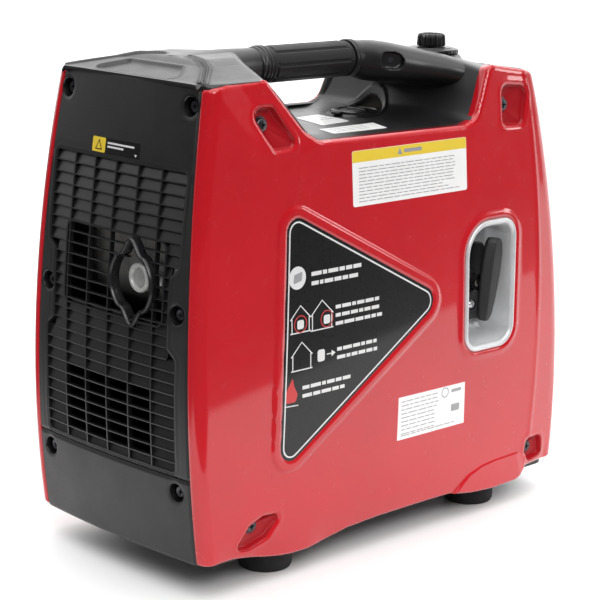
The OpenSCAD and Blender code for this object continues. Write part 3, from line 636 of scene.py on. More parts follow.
def emboss(x, z, starter):
    """How far the outer surface sinks (positive) or stands out (negative), in millimetres."""
    P = np.stack([x, z], 1)
    d = np.zeros(len(P))
    # crease from the rear upper corner
    s = (x + 213) * 0.778 + (z - 440) * 0.629
    d += 0.085 * np.clip(s, 0, 24) * smooth(380, 412, z) * smooth(74, 34, s) * smooth(-60, -110, x)
    # front corner: a facet that widens downwards, with a soft ridge
    fx = xf(z) - (20 + (440 - z) * 0.075)
    f = x - fx
    d += np.where(f > 0, 0.10 * np.minimum(f, 34), 0) * smooth(0, 3, f)
    d -= 0.45 * np.exp(-((f + 1.0) / 2.6) ** 2)
    # small facet across the upper front corner
    g = ((x - 178) * 0.857 + (z - 455) * 0.515)
    d += 0.15 * np.clip(g, 0, 40) * smooth(388, 400, z)
    # lower edge drawn in, with a faceted hood over the front foot and a soft one at the rear
    k = 0.13 * 4.0 * np.logaddexp(0, (50 - z) / 4.0) * smooth(-226, -196, x)
    t = sdist(P, HOOD)
    keep = smooth(1.0, -1.2, t) * np.clip((200.2 - x + (z - 33.6) * -0.42) / 13.0, 0, 1) ** 0.9
    soft_hood = smooth(-176, -140, x) * smooth(-84, -112, x) * smooth(54, 40, z)
    d += k * (1 - keep) * (1 - 0.75 * soft_hood) - 0.5 * keep
    # raised border round the triangular sign
    if starter:
        t = sdist(P, TRI)
        d -= 1.5 * smooth(9.6, 7.6, t)
        d += 1.0 * smooth(0.8, -0.8, t)
        t = sdist(P, BEZEL)
        d -= 1.2 * np.exp(-((t - 5.0) / 3.2) ** 2)
        d += 2.2 * smooth(2.2, -0.4, t)
    for o, c, _ in POCKETS.values():
        t = sdist(P, o)
        d += 1.2 * smooth(2.0, -0.5, t)
        d -= 0.4 * np.exp(-((t - 3.4) / 1.8) ** 2)
    return d


def side_skin(name, starter):
    z = LEVELS
    O = side_path(z, 0.0, COLS)
    # bend the grid so that the arcs and the straight run share one normal
    px, pz = O[..., 0].ravel(), O[..., 2].ravel()
    share = np.array([1.0 if k == "s" else (math.sin(t) ** 4 if k == "ra" else (math.cos(t) ** 3 if k == "fa" else 0.0)) for k, t in COLS])
    side_d = emboss(px, pz, starter).reshape(O.shape[:2]) * share + rolled(px, pz).reshape(O.shape[:2])
    N = np.zeros_like(O)
    x0, x1, y = xr(z)[:, None], xf(z)[:, None], ys(z)[:, None]
    for k, (kind, t) in enumerate(COLS):
        if kind == "rs":
            N[:, k, 0] = 1
        elif kind == "ra":
            N[:, k, 0], N[:, k, 1] = math.cos(t), math.sin(t)
        elif kind == "s":
            N[:, k, 1] = 1
        elif kind == "fa":
            N[:, k, 0], N[:, k, 1] = -math.sin(t), math.cos(t)
        else:
            N[:, k, 0] = -1
    # rolled edges at the seams
    side_d[:, 0] += 1.2
    side_d[:, 1] += 0.35
    side_d[:, -1] += 1.6
    side_d[:, -2] += 0.5
    I = side_path(z, 2.6, COLS) + N * np.maximum(side_d, 0)[..., None]
    O = O + N * side_d[..., None]
    # inner faces take the near-black painted shade
    ob = grid_solid(name, O, I, RED, INNER_PAINTED_SHADE)
    return ob


def side_surface(x, z, out=0.0, starter=True):
    """Point on the side skin's outer face."""
    x = np.asarray(x, float)
    z = np.asarray(z, float)
    d = emboss(x.ravel(), z.ravel(), starter).reshape(x.shape)
    return np.stack([x, -(ys(z) - d) - out, z], -1)


def pocket_cup(outline, screw, depth, name):
    """Walls and sloping floor of a screw pocket behind the skin."""
    o = resample(outline, 2.0)
    n = len(o)
    c = o.mean(0)
    rows = []
    yy = -ys(o[:, 1])
    far = np.linalg.norm(o - np.array(screw), axis=1)
    dep = depth * (1 - 0.55 * smooth(12, 34, far))
    # outer ring on the skin, then walls leaning in, then the floor
    for f, dd in ((0.0, 0.4), (0.0, 1.6), (0.6, 0.5 * 1), (1.3, 1.0)):
        pass
    rings = []
    for inset, k in ((-0.9, 0.02), (-0.35, 0.1), (0.1, 0.3), (0.8, 0.8), (1.6, 0.96), (3.0, 1.0)):
        q = offset(o, -inset)
        rings.append(np.stack([q[:, 0], yy + 1.4 + (dep - 1.4) * k, q[:, 1]], 1))
    cen = np.array([[screw[0], -ys(screw[1]) + depth, screw[1]]])
    for t in (0.35, 0.7):
        a = rings[5] * (1 - t) + cen * t
        rings.append(a)
    v = np.vstack(rings + [cen])
    f = []
    for i in range(len(rings) - 1):
        for j in range(n):
            j2 = (j + 1) % n
            f.append((i * n + j, i * n + j2, (i + 1) * n + j2, (i + 1) * n + j))
    L = len(rings) - 1
    for j in range(n):
        f.append((L * n + j, L * n + (j + 1) % n, len(v) - 1))
    # pocket walls take the darker red, whose darkness is painted shade in the recess
    ob = make(name, v, f, RED_IN, shade=False)
    bm = bmesh.new()
    bm.from_mesh(ob.data)
    bmesh.ops.recalc_face_normals(bm, faces=bm.faces)
    bm.to_mesh(ob.data)
    bm.free()
    ob.data.shade_smooth()
    m = ob.modifiers.new("s", "SOLIDIFY")
    m.thickness = 0.8 * MM
    m.offset = 0
    bake(ob)
    sharp_edges(ob, 60)
    return ob


def ledge(name):
    """Points of the notch along the top of a side skin, where the top cover meets it; the turned-in lip itself is swept
    in side_panel.
    """
    zz = np.array([p for p in NOTCH if p[1] < 460 and p[0] < 240 and p[0] > -222])
    zz = zz[np.argsort(zz[:, 0])] if False else zz
    o = resample(np.vstack([zz, zz[::-1] + [0, 0.01]]), 3.0)
    return zz


def side_panel(name, node, starter):
    ob = side_skin(name, starter)
    cutters = [prism(NOTCH, "y", -140, -60)]
    if starter:
        cutters.append(prism(resample(offset(BEZEL, 0.3), 2), "y", -140, -90))
    for k, (o, s, _) in POCKETS.items():
        cutters.append(prism(resample(offset(o, -0.2), 2), "y", -140, -90))
    # lower edge
    bx = np.linspace(-250, 250, 130)
    cutters.append(prism([(-300, 0), (300, 0), (300, 33.4)] + [(float(q), float(bottom_z(q)) - 0.2) for q in bx[::-1]] + [(-300, 32.4)], "y", -140, -60))
    # the door opening on the far side
    if not starter:
        cutters.append(prism(rrect(144 + 1.8, 216 + 1.8, 16.8, -20, 236), "y", -140, -90))
    cut(ob, cutters, once=True)
    sharp_edges(ob, 38)
    parts = [ob]
    for k, (o, s, d) in POCKETS.items():
        parts.append(pocket_cup(o, s, 9.0, name + k))
    # turned-in flange under the top edge
    line = NOTCH[(NOTCH[:, 1] < 451) & (NOTCH[:, 0] > -216) & (NOTCH[:, 0] < 187)]
    line = line[:np.argmax(line[:, 0]) + 1] if line[0, 0] < line[-1, 0] else line[::-1]
    keep = [line[0]]
    for p in line[1:]:
        if np.linalg.norm(p - keep[-1]) > 1.2:
            keep.append(p)
    line = np.array(keep)
    y0 = -(ys(line[:, 1]) - 4.6)
    path = np.stack([line[:, 0], y0, line[:, 1] - 1.3], 1)
    w = 7.4
    prof = [(-1.0, 0), (-1.0, w), (0.6, w), (1.0, w - 0.5), (1.0, -1.2), (0.2, -1.8), (-0.6, -1.2)]
    fl = sweep(name + "_lip", path, [(p[0], p[1]) for p in prof], (0, 1, 0), RED if starter else TRIM, closed=False)
    parts.append(fl)
    ob = join(name, parts)
    if not starter:
        ob.data.transform(Matrix.Scale(-1, 4, (0, 1, 0)))
        ob.data.flip_normals()
    finish_piece(ob, "chassis", [node])
    return ob


side_panel("panel_starter_side", "starter_side_panel", True)
side_panel("panel_service_side", "service_side_panel", False)


# the service door on the far side
def door():
    xs = np.linspace(-91.6, 51.6, 90)
    zs = np.linspace(128.4, 343.6, 130)
    X, Z = np.meshgrid(xs, zs)
    P = np.stack([X.ravel(), Z.ravel()], 1)
    o = rrect(144, 216, 16, -20, 236)
    t = -sdist(P, o).reshape(X.shape)
    e = np.clip(t, 0, 3)
    d = 3 - np.sqrt(np.maximum(0, 9 - (3 - e) ** 2))
    d = d + 0.9 * smooth(14, 16.5, t) * smooth(40, 12, np.abs(Z - 300) * 0 + 0)
    d = d - 0.7 * np.exp(-((t - 12) / 3.0) ** 2)
    # finger scoop round the latch
    r = np.hypot(X - 34, Z - 236)
    d = d + 2.2 * smooth(17, 12, r)
    O = np.stack([X, ys(Z) - d, Z], -1)[:, ::-1]
    I = np.stack([X, ys(Z) - d - 2.4, Z], -1)[:, ::-1]
    ob = grid_solid("service_door_skin", O, I, RED)
    big = [(-300, 0), (300, 0), (300, 500), (-300, 500)]
    inter = prism(resample(o, 2), "y", 90, 140)
    cut(ob, [inter], "INTERSECT")
    cut(ob, [prism(circle(9.6, 34, 236), "y", 90, 140)])
    sharp_edges(ob, 38)
    inner = rounded([(p[0], p[1]) for p in [(-88, 132), (48, 132), (48, 340), (-88, 340)]], 12)
    rib = sweep("door_rib", np.stack([resample(inner, 3)[:, 0], 110 + 0 * resample(inner, 3)[:, 0], resample(inner, 3)[:, 1]], 1),
                [(-1, -3.4), (1, -3.4), (1, 0.4), (-1, 0.4)], (0, 1, 0), RED)
    ob = join("service_door_piece", [ob, rib])
    finish_piece(ob, "service_door", ["service_door"])
    k = lathe("latch_disc", [(0, -10), (4.8, -10), (4.8, -2), (8.4, -2), (8.9, -1.4), (8.9, 3.6), (8.3, 4.3), (0, 4.4)], "y", (34, 111.2, 236), TRIM, 48)
    bar = plate("latch_bar", rrect(3.4, 15, 1.4, 34, 236), "y", 115.2, 117.8, TRIM, 0.5)
    arm = plate("latch_arm", rrect(7.6, 31, 2, 34, 224.5), "y", 102.2, 105.8, TRIM, 0.5)
    ob = join("door_latch_piece", [k, bar, arm])
    finish_piece(ob, "door_latch", ["door_latch"])


door()


# ---------------------------------------------------------------- rear end
def rear_x(y, z, o=0.0):
    w = ys(z) - WRAP - 0.4
    return xr(z) - 4.6 * (1 - (y / w) ** 2) + o


def on_rear(P, o):
    P = np.asarray(P, float)
    return np.stack([rear_x(P[:, 0], P[:, 1], o), P[:, 0], P[:, 1]], 1)


GR = rounded([(-89, 114), (-89, 214), (-78.5, 222), (-78.5, 284), (-89, 292), (-89, 373), (89, 373), (89, 292), (78.5, 284), (78.5, 222), (89, 214), (89, 114)],
             [4, 4, 5, 5, 4, 4, 4, 4, 5, 5, 4, 4], 6)
REAR_SCREWS = [(88.6, 96), (88.9, 253), (82.7, 427)]


def rear_sheet(name, z0, z1, mat, bottom_roll, top_roll, dip=0.0):
    zs = np.linspace(z0, z1, int((z1 - z0) / 2.0))
    ts = np.linspace(-1, 1, 120)
    T, Z = np.meshgrid(ts, zs)
    if dip:
        k = (Z - z0) / (z1 - z0)
        Z = Z - dip * (1 - T * T) * (1 - k)
    w = ys(Z) - WRAP - 0.6
    Y = T * w
    d = np.zeros_like(Y)
    e = np.clip(w - np.abs(Y), 0, 1.6)
    d += 1.6 - np.sqrt(np.maximum(0, 1.6 ** 2 - (1.6 - e) ** 2))
    if bottom_roll:
        e = np.clip(Z - (z0 - (dip * (1 - T * T) if dip else 0)), 0, bottom_roll)
        d += bottom_roll - np.sqrt(np.maximum(0, bottom_roll ** 2 - (bottom_roll - e) ** 2))
    if top_roll:
        e = np.clip(z1 - Z, 0, top_roll)
        d += top_roll - np.sqrt(np.maximum(0, top_roll ** 2 - (top_roll - e) ** 2))
    P = np.stack([Y.ravel(), Z.ravel()], 1)
    if z1 > 200:
        t = sdist(P, GR).reshape(Y.shape)
        d += 1.2 * smooth(1.4, -0.3, t)
        d += 0.45 * np.exp(-((t - 5.0) / 1.0) ** 2)
    for s in REAR_SCREWS:
        for sg in (-1, 1):
            r = np.hypot(Y - sg * s[0], Z - s[1])
            d += 1.1 * smooth(10.0, 8.2, r)
    O = np.stack([rear_x(Y, Z) + d, Y, Z], -1)[:, ::-1]
    I = np.stack([rear_x(Y, Z) + d + 2.6, Y, Z], -1)[:, ::-1]
    return grid_solid(name, O, I, mat)


def rear():
    ob = rear_sheet("rear_cover_piece", 110.2, 446, BLACK, 1.2, 2.0)
    cutters = [prism(resample(GR, 2), "x", -270, -200)]
    for s in REAR_SCREWS[1:]:
        for sg in (-1, 1):
            cutters.append(prism(circle(8.4, sg * s[0], s[1]), "x", -270, -200))
    cut(ob, cutters, once=True)
    sharp_edges(ob, 38)
    parts = [ob]
    g = resample(GR, 2.5)
    path = on_rear(g, 0.9)
    parts.append(sweep("rim", path, [(-0.2, 0.3), (1.1, 0.3), (1.3, -0.2), (1.3, -8), (0.2, -8), (-0.2, -0.4)], (-1, 0, 0), BLACK))
    low = rear_sheet("rear_lower_piece", 31.4, 109.2, BLACK, 1.6, 1.4, dip=0.0)
    cutters = [prism(circle(8.4, sg * 88.6, 96), "x", -270, -200) for sg in (-1, 1)]
    cut(low, cutters)
    sharp_edges(low, 38)
    lparts = [low]
    for i, s in enumerate(REAR_SCREWS):
        for sg in (-1, 1):
            x0 = float(rear_x(sg * s[0], s[1]))
            cup = lathe("cup", [(9.2, 0.2), (8.7, 0.5), (8.35, 1.2), (8.2, 6.6), (8.0, 9.4), (5.0, 9.6), (4.6, 10.4), (0, 10.5), (0, 11.3), (9.2, 11.3), (9.6, 4)],
                        "x", (x0 + 0.4, sg * s[0], s[1]), TRIM, 40)
            (lparts if i == 0 else parts).append(cup)
            sc = lathe("screw", [(0, 3.6), (1.0, 3.6), (1.2, 3.0), (4.4, 2.4), (5.1, 3.0), (5.2, 4.6), (5.2, 7.4), (0, 7.4)], "x", (x0 + 2.4, sg * s[0], s[1]), SCREW, 32)
            c1 = prism(rrect(0.9, 5.6, 0.3, sg * s[0], s[1]), "x", x0 - 2, x0 + 6.9)
            c2 = prism(rrect(5.6, 0.9, 0.3, sg * s[0], s[1]), "x", x0 - 2, x0 + 6.9)
            cut(sc, [c1, c2])
            screws.append(sc)
    finish_piece(join("rear_cover_piece", parts), "chassis", ["rear_cover"])
    finish_piece(join("rear_lower_piece", lparts), "chassis", ["rear_lower_cover"])


screws = []
rear()
finish_piece(join("rear_screws_piece", screws), "chassis", ["rear_screws"])


# side screws, in their pockets
def side_screws():
    out = []
    for k, (o, s, d) in POCKETS.items():
        for sg in (-1, 1):
            y = float(ys(s[1]))
            prof = [(0, -0.2), (1.4, -0.2), (1.6, 0.4), (4.6, 0.2), (5.6, -0.3), (6, -0.9), (6, -3.2), (7.4, -3.4), (7.4, -4.2), (0, -4.2)]
            sc = lathe("screw", [(r, h) for r, h in prof], "y" if sg > 0 else "-y", (s[0], sg * (y - 4.6), s[1]), SCREW, 36)
            c1 = prism(rrect(1.1, 6.4, 0.3, s[0], s[1]), "y", *sorted((sg * (y - 6.0), sg * (y + 1))))
            c2 = prism(rrect(6.4, 1.1, 0.3, s[0], s[1]), "y", *sorted((sg * (y - 6.0), sg * (y + 1))))
            cut(sc, [c1, c2])
            out.append(sc)
    finish_piece(join("side_screws_piece", out), "chassis", ["side_screws"])


side_screws()


def grille():
    v, f = [], []

    def strip(yy, prof):
        """A bar along y with the closed profile of (z, depth) pairs."""
        n, m = len(v), len(prof)
        for y in yy:
            for z, o in prof:
                v.append([float(rear_x(y, z, o)), y, z])
        for i in range(len(yy) - 1):
            for j in range(m):
                j2 = (j + 1) % m
                f.append((n + i * m + j, n + (i + 1) * m + j, n + (i + 1) * m + j2, n + i * m + j2))
        f.append(tuple(n + j for j in range(m)))
        f.append(tuple(n + (len(yy) - 1) * m + j for j in range(m - 1, -1, -1)))

    Z0, pitch = 112.6, 10.03
    cols = [-89.1, -59.4, -29.7, 0, 29.7, 59.4, 89.1]
    cy, cz = -33.5, 272.5

    def inset(z):
        return 10.6 if 216 < z < 290 else 0.2

    def open_cell(y, z):
        up = 239 < z < 313 and -72 < y < 63
        lo = 121 < z < 183 and -59.4 < y < 59.4
        return up or lo

    def in_collar(y, z, g):
        return (y - cy) ** 2 + (z - cz) ** 2 < g * g

    for k in range(26):
        za, zb = Z0 + k * pitch, Z0 + (k + 1) * pitch
        zm = (za + zb) / 2
        for c in range(6):
            ya, yb = cols[c], cols[c + 1]
            if c == 0:
                ya += max(inset(zm), 0.2)
            if c == 5:
                yb -= max(inset(zm), 0.2)
            stops = [ya, yb] + [s for s in (-72.0, 63.0) if ya < s < yb and 239 < zm < 313]
            if abs(zm - cz) < 27 and (in_collar(ya, zm, 40) or in_collar(yb, zm, 40)):
                stops += list(np.linspace(ya, yb, 7)[1:-1])
            stops = sorted(stops)
            for p, q in zip(stops[:-1], stops[1:]):
                ym = (p + q) / 2
                yy = np.linspace(p, q, 4)
                if in_collar(ym, zm, 27.0):
                    continue
                if not open_cell(ym, zm):
                    # sloping slat: proud at its foot, deep under the bar above, a little hollow
                    strip(yy, [(za, 1.9), (za + 3.3, 2.75), (za + 6.6, 3.6), (zb, 4.5), (zb, 6.6), (za, 4.0)])
                if k > 0:
                    w = 0.62
                    strip(yy, [(za - w, 1.3), (za - w * 0.5, 0.8), (za + w * 0.5, 0.7), (za + w, 1.1), (za + w, 5.0), (za - w, 5.0)])
        for c in range(1, 6):
            y = cols[c]
            if in_collar(y, zm, 27.0):
                continue
            w = 0.8
            strip([y - w, y - w * 0.5, y + w * 0.5, y + w], [(za, 0.75), (zb, 0.75), (zb, 5.4), (za, 5.4)])
    ob = make("rear_grille_piece", v, f, LOUVRE, shade=False)
    bm = bmesh.new()
    bm.from_mesh(ob.data)
    bmesh.ops.recalc_face_normals(bm, faces=bm.faces)
    bm.to_mesh(ob.data)
    bm.free()
    ob.data.shade_smooth()
    sharp_edges(ob, 42)
    # rim of the upper window
    parts = [ob]
    for o, oo in ((rrect(135, 73.5, 7, -4.5, 276), 0.6),):
        g = resample(o, 2.5)
        path = on_rear(g, oo)
        parts.append(sweep("window_rim", path, [(-0.9, 0.1), (0.9, 0.1), (0.9, -5.5), (-0.9, -5.5)], (-1, 0, 0), LOUVRE))
    finish_piece(join("rear_grille_piece", parts), "chassis", ["rear_grille"])


grille()


def collar():
    a = np.linspace(0, 2 * math.pi, 160, endpoint=False)

    def ring(g):
        r = 27.2 + g
        for s in (90, 270):
            dd = (np.degrees(a) - s + 180) % 360 - 180
            r = r + 10.0 * np.exp(-(np.abs(dd) / 13.5) ** 1.8) - 1.1 * np.exp(-((np.abs(dd) - 27) / 8) ** 2)
        for s in (50, 130, 230, 310):
            dd = (np.degrees(a) - s + 180) % 360 - 180
            r = r + 0.7 * np.exp(-(dd / 12) ** 2)
        return np.stack([-33.5 + r * np.cos(a), 272.5 + r * np.sin(a)], 1)

    c = ring(0.6)
    path = np.stack([0 * a - 241.5, c[:, 0], c[:, 1]], 1)
    prof = [(-1.7, -2.5), (-1.9, 4.0), (-1.6, 6.0), (-0.7, 7.1), (0.7, 7.1), (1.6, 6.0), (1.9, 4.0), (2.4, -2.5)]
    ob = sweep("exhaust_collar_piece", path, prof, (-1, 0, 0), TRIM)
    finish_piece(ob, "chassis", ["exhaust_collar"])


collar()


def arrester():
    ring = lathe("arrester_ring", [(9.0, 2.4), (9.2, 0), (9.8, -0.9), (12.4, -0.9), (13.2, 0), (13.2, 6.8), (9.0, 6.8), (9.0, 2.4)],
                 "x", (-236.2, -31.5, 275), SATIN, 64)
    # woven screen: two crossed sets of wires on a shallow dome
    v, f = [], []
    obs = [ring]
    for k in range(-8, 9):
        h = k * 1.15
        L = math.sqrt(max(0, 9.3 ** 2 - h * h))
        t = np.linspace(-L, L, 26)
        for ax in (0, 1):
            wob = 0.28 * np.sin(t / 1.15 * math.pi + (k + ax) * math.pi)
            dome = -1.2 * (1 - (t * t + h * h) / 94.0)
            y = -31.5 + (t if ax == 0 else h + 0 * t)
            z = 275 + (h + 0 * t if ax == 0 else t)
            path = np.stack([-233.4 + dome + wob, y, z], 1)
            obs.append(sweep("wire", path, circle(0.21, n=6), (-1, 0.01, 0.02), SATIN, closed=False))
    finish_piece(join("spark_arrester_piece", obs), "chassis", ["spark_arrester"])


arrester()


def muffler():
    """Pressed canister with a rolled seam round each end, its outlet and its pipe."""
    cy, cz = -12.0, 278.0
    xs = [(-221.5, 0.80), (-221.8, 0.90), (-220.5, 0.955), (-217, 0.985), (-214.5, 1.0), (-213, 1.0), (-212, 0.975), (-206, 0.972), (-168, 0.985), (-130, 0.972),
          (-125, 0.975), (-124, 1.0), (-122.5, 1.0), (-120, 0.98), (-117.5, 0.93), (-116.3, 0.8)]
    o = resample(rrect(136, 132, 34, 0, 0, 12), 5)
    n = len(o)
    v, f = [], []
    for x, k in xs:
        for p in o:
            v.append([x, cy + p[0] * k, cz + p[1] * k])
    for i in range(len(xs) - 1):
        for j in range(n):
            f.append((i * n + j, i * n + (j + 1) % n, (i + 1) * n + (j + 1) % n, (i + 1) * n + j))
    f.append(tuple(range(n)))
    f.append(tuple(range(len(v) - 1, len(v) - 1 - n, -1)))
    # canister finish carries the painted shade, darker towards its bottom
    can = make("muffler_can", v, f, MUFFLER_PAINTED_SHADE, auto=40)
    out = lathe("outlet", [(9.4, 0), (9.4, 8.4), (12, 8.4), (12, 1.5), (14.5, 0.6), (14.5, 0)], "-x", (-221.2, -31.5, 275), STEEL, 48)
    pipe = lathe("pipe", [(7.6, 0), (7.6, 92), (9.6, 92), (9.6, 3), (12, 0)], "x", (-118.2, 0, 336), STEEL, 48)
    brk = plate("bracket", rounded([(60, 250), (92, 262), (92, 300), (60, 306)], 4), "x", -214, -212.4, STEEL_BRIGHT, 0.4)
    finish_piece(join("muffler_piece", [can, out, pipe, brk]), "chassis", ["muffler"])


muffler()

# ---------------------------------------------------------------- top cover
def loft_x(name, secs, mat=None, n=48):
    """Superellipse sections along X: (x, centre z, half width, half height up, half height down, power)."""
    a = np.linspace(0, 2 * math.pi, n, endpoint=False)
    c, s = np.cos(a), np.sin(a)
    v, f = [], []
    for x, zc, w, hu, hd, p in secs:
        yy = w * np.sign(c) * np.abs(c) ** (2 / p)
        zz = np.where(s > 0, hu, hd) * np.sign(s) * np.abs(s) ** (2 / p)
        for y, z in zip(yy, zz):
            v.append([x, y, zc + z])
    m = len(secs)
    for i in range(m - 1):
        for j in range(n):
            f.append((i * n + j, (i + 1) * n + j, (i + 1) * n + (j + 1) % n, i * n + (j + 1) % n))
    f.append(tuple(range(n)))
    f.append(tuple(range(m * n - 1, (m - 1) * n - 1, -1)))
    ob = make(name, v, f, mat, shade=False)
    bm = bmesh.new()
    bm.from_mesh(ob.data)
    bmesh.ops.recalc_face_normals(bm, faces=bm.faces)
    bm.to_mesh(ob.data)
    bm.free()
    return ob


def interp_secs(secs, step=4.0):
    s = np.array(secs, float)
    x = np.arange(s[0, 0], s[-1, 0] + 0.1, step)
    # smooth interpolation by repeated averaging of the linear one
    out = [x] + [np.interp(x, s[:, 0], s[:, k]) for k in range(1, s.shape[1])]
    for k in range(1, len(out)):
        q = out[k].copy()
        for _ in range(3):
            q[1:-1] = (q[:-2] + 2 * q[1:-1] + q[2:]) / 4
        out[k] = q
    return list(zip(*out))


def top_profile(x, y):
    """Placeholder for the height of the top cover's upper skin away from the handle: it returns 0 and is not used."""
    return 0


def seg_dist(X, Y, pts):
    """Distance of each point to an open run of segments."""
    best = np.full(X.shape, 1e9)
    for (ax, ay_), (bx, by) in zip(pts[:-1], pts[1:]):
        ex, ey = bx - ax, by - ay_
        t = np.clip(((X - ax) * ex + (Y - ay_) * ey) / (ex * ex + ey * ey), 0, 1)
        best = np.minimum(best, np.hypot(X - ax - t * ex, Y - ay_ - t * ey))
    return best


def top_cover():
    # towers: a height map over the plan, with the open deck between them
    xs = np.concatenate([np.arange(-224, -150, 1.1), np.arange(-150, 100, 1.6), np.arange(100, 213.1, 1.3)])
    yv = np.linspace(-1, 1, 190)
    X, T = np.meshgrid(xs, yv)
    # edge of the cover follows the side skins
    zedge = np.interp(X, [-224, -221, -200, -168, -157.5, -152, -112, -94, 97, 112, 120, 131, 137, 204, 213], [441.5, 442, 444.6, 446, 446, 441, 398.5, 386.5, 386.5, 391, 410, 438, 440, 431, 428])
    ylim = ys(zedge) - 13.2 + 9.6 * smooth(-214, -196, X) * smooth(0.5, 1, np.abs(T)) * 0
    # the cover reaches out to the skins' inner faces
    ylim = np.minimum(ys(zedge) - 2.9, ys(zedge) - 13.4 + np.sqrt(np.maximum(0, 10.4 ** 2 - np.clip(-209 - X, 0, 10.4) ** 2)))
    ylim = np.minimum(ylim, ys(zedge) - 17.9 + np.sqrt(np.maximum(0, 15 ** 2 - np.clip(X - (xf(zedge) - 18), 0, 14.9) ** 2)))
    Y = T * ylim
    ay = np.abs(Y)
    # hipped rear tower
    rear_side = np.interp(ay, [0, 17, 42, 52, 60, 94, 104, 110], [463.0, 462.6, 461.6, 458.6, 456.2, 448.2, 446.4, 445.6])
    rear_back = np.interp(X, [-224, -219, -186, -177, -168, -150, -120], [446.6, 447.6, 456.0, 460.6, 462.6, 463.0, 463.0])
    crown_r = -1.6 * np.logaddexp(-rear_side / 1.6, -rear_back / 1.6)
    lim = np.interp(ay, [0, 15, 28, 40, 60, 80, 104, 110], [-112, -116, -127, -137, -149, -161, -176.5, -179])
    drop = np.maximum(0, X - lim)
    slope_r = 463 - drop * 0.80 - 0.0022 * drop ** 2
    zr = -2.2 * np.logaddexp(-crown_r / 2.2, -slope_r / 2.2)
    # front tower
    crown_f = 446.8 - 0.19 * np.maximum(0, X - 140) - 0.0010 * ay ** 2
    spine = 9.5 * np.exp(-(ay / (22 + np.maximum(0, X - 90) * 0.1)) ** 2) * smooth(200, 110, X)
    crown_f = crown_f + spine
    rise = np.interp(X, [0, 98, 106, 112, 117, 121, 125, 130, 136, 150, 220], [300, 382, 388, 394.5, 404, 412.5, 423.5, 438.5, 458, 560, 700])
    k = 4.0
    zf = -np.log(np.exp(-(np.minimum(crown_f, 600) - 380) / k) + np.exp(-(np.clip(rise, 300, 560) - 380) / k)) * k + 380
    deck = 385.0 + 0.0 * X
    b = 7.0
    hz = b * np.log(np.exp((np.maximum(zr, 340) - 380) / b) + np.exp((np.maximum(zf, 340) - 380) / b) + np.exp((deck - 380) / b)) + 380
    hz = np.maximum(hz - 0.4, 385)
    # both edges come down to the seam on the side skins
    hz = np.minimum(hz, zedge + 1.2 + (ylim - ay) * 1.1)
    # double bead down both hips
    for s in (-1, 1):
        dd = seg_dist(X, Y, [(-221, s * 95.5), (-186, s * 60), (-177, s * 43), (-168, s * 18)])
        hz += 1.25 * np.exp(-((dd - 2.1) / 1.0) ** 2) - 0.7 * np.exp(-(dd / 0.9) ** 2) - 0.6 * np.exp(-((dd - 4.6) / 1.0) ** 2)
    tray = rounded([(-218.5, -60), (-191, -36), (-191, 36), (-218.5, 60)], 6)
    t = sdist(np.stack([X.ravel(), Y.ravel()], 1), tray).reshape(X.shape)
    hz -= 2.2 * smooth(1.0, -1.4, t)
    hz += 0.5 * np.exp(-((t - 1.8) / 1.0) ** 2)
    # round seat of the filler cap
    r = np.hypot(X - 162, Y)
    w = smooth(34, 28, r)
    hz = hz * (1 - w) + 443.4 * w
    # access ring for the plug
    r = np.hypot(X - 92, Y - 30)
    hz = np.where(r < 34, hz + 1.8 * smooth(29.5, 28.3, r) * smooth(25.6, 26.6, r), hz)
    # small step along both edges of the deck
    hz += 1.1 * smooth(9.5, 8.3, ylim - ay) * smooth(389, 386, hz)
    O = np.stack([X, Y, hz], -1)
    I = np.stack([X, Y * 0.995, hz - 2.6], -1)
    ob = grid_solid("top_cover_piece", O, I, BLACK_TOP)
    cutters = [prism(circle(24.6, 92, 30), "z", 300, 520), prism(circle(21.6, 164, 0), "z", 300, 520)]
    cut(ob, cutters, once=True)
    bm = bmesh.new()
    bm.from_mesh(ob.data)
    bmesh.ops.recalc_face_normals(bm, faces=bm.faces)
    bm.to_mesh(ob.data)
    bm.free()
    ob.data.shade_smooth()
    sharp_edges(ob, 50)
    # the handle: its two roots, the cone that runs into the front tower, and the core
    secs_r = [(-176, 440, 34, 20, 18, 2.6), (-150, 441, 30, 20.4, 16, 2.6), (-128, 443, 24, 18.9, 15, 2.4), (-108, 444.5, 18.5, 17.6, 14.5, 2.3), (-92, 445, 16.2, 16.6, 14.6, 2.2),
              (-84, 445.2, 15.6, 16.2, 14.8, 2.1), (-70, 445.2, 15.4, 16.0, 15.0, 2.1)]
    secs_f = [(44, 445.2, 15.8, 16.0, 15.2, 2.1), (54, 444, 17.2, 17.4, 17.6, 2.1), (66, 441.5, 21, 20.0, 19.0, 2.1), (78, 439.5, 26.5, 21.2, 18.4, 2.1), (90, 437.5, 35, 21.6, 17.6, 2.1),
              (102, 435.5, 46, 21.4, 17.4, 2.1), (114, 433.5, 60, 21.0, 18.0, 2.2), (126, 431, 75, 20.6, 20, 2.3), (140, 429.5, 83, 18.4, 20, 2.4), (164, 427, 84, 13.0, 20, 2.4)]
    hr = loft_x("neck_r", interp_secs(secs_r), BLACK_TOP)
    hf = loft_x("neck_f", interp_secs(secs_f, 3.0), BLACK_TOP, 96)
    # oval screw recesses in the cone's flanks
    for s in (-1, 1):
        c = prism(rounded([(-11.4, -8.0), (11.4, -8.0), (11.4, 8.0), (-11.4, 8.0)], 7.8, 8), "y", -22, 22)
        c.data.transform(Matrix.Translation((72.5 * MM, s * 39.5 * MM, 442.5 * MM)) @ Matrix.Rotation(s * math.radians(30), 4, "Z") @ Matrix.Rotation(math.radians(6), 4, "Y"))
        cut(hf, [c])
    for h in (hr, hf):
        m = h.modifiers.new("r", "REMESH")
        m.mode = "VOXEL"
        m.voxel_size = 1.0 * MM
        m = h.modifiers.new("s", "SMOOTH")
        m.iterations = 5
        m.factor = 0.5
        bake(h)
        if not h.data.materials:
            h.data.materials.append(BLACK_TOP)
        h.data.shade_smooth()
    core = lathe("core", [(0, 0), (12.2, 0), (12.2, 114), (0, 114)], "x", (-69.5, 0, 445.2), BLACK_TOP, 48)
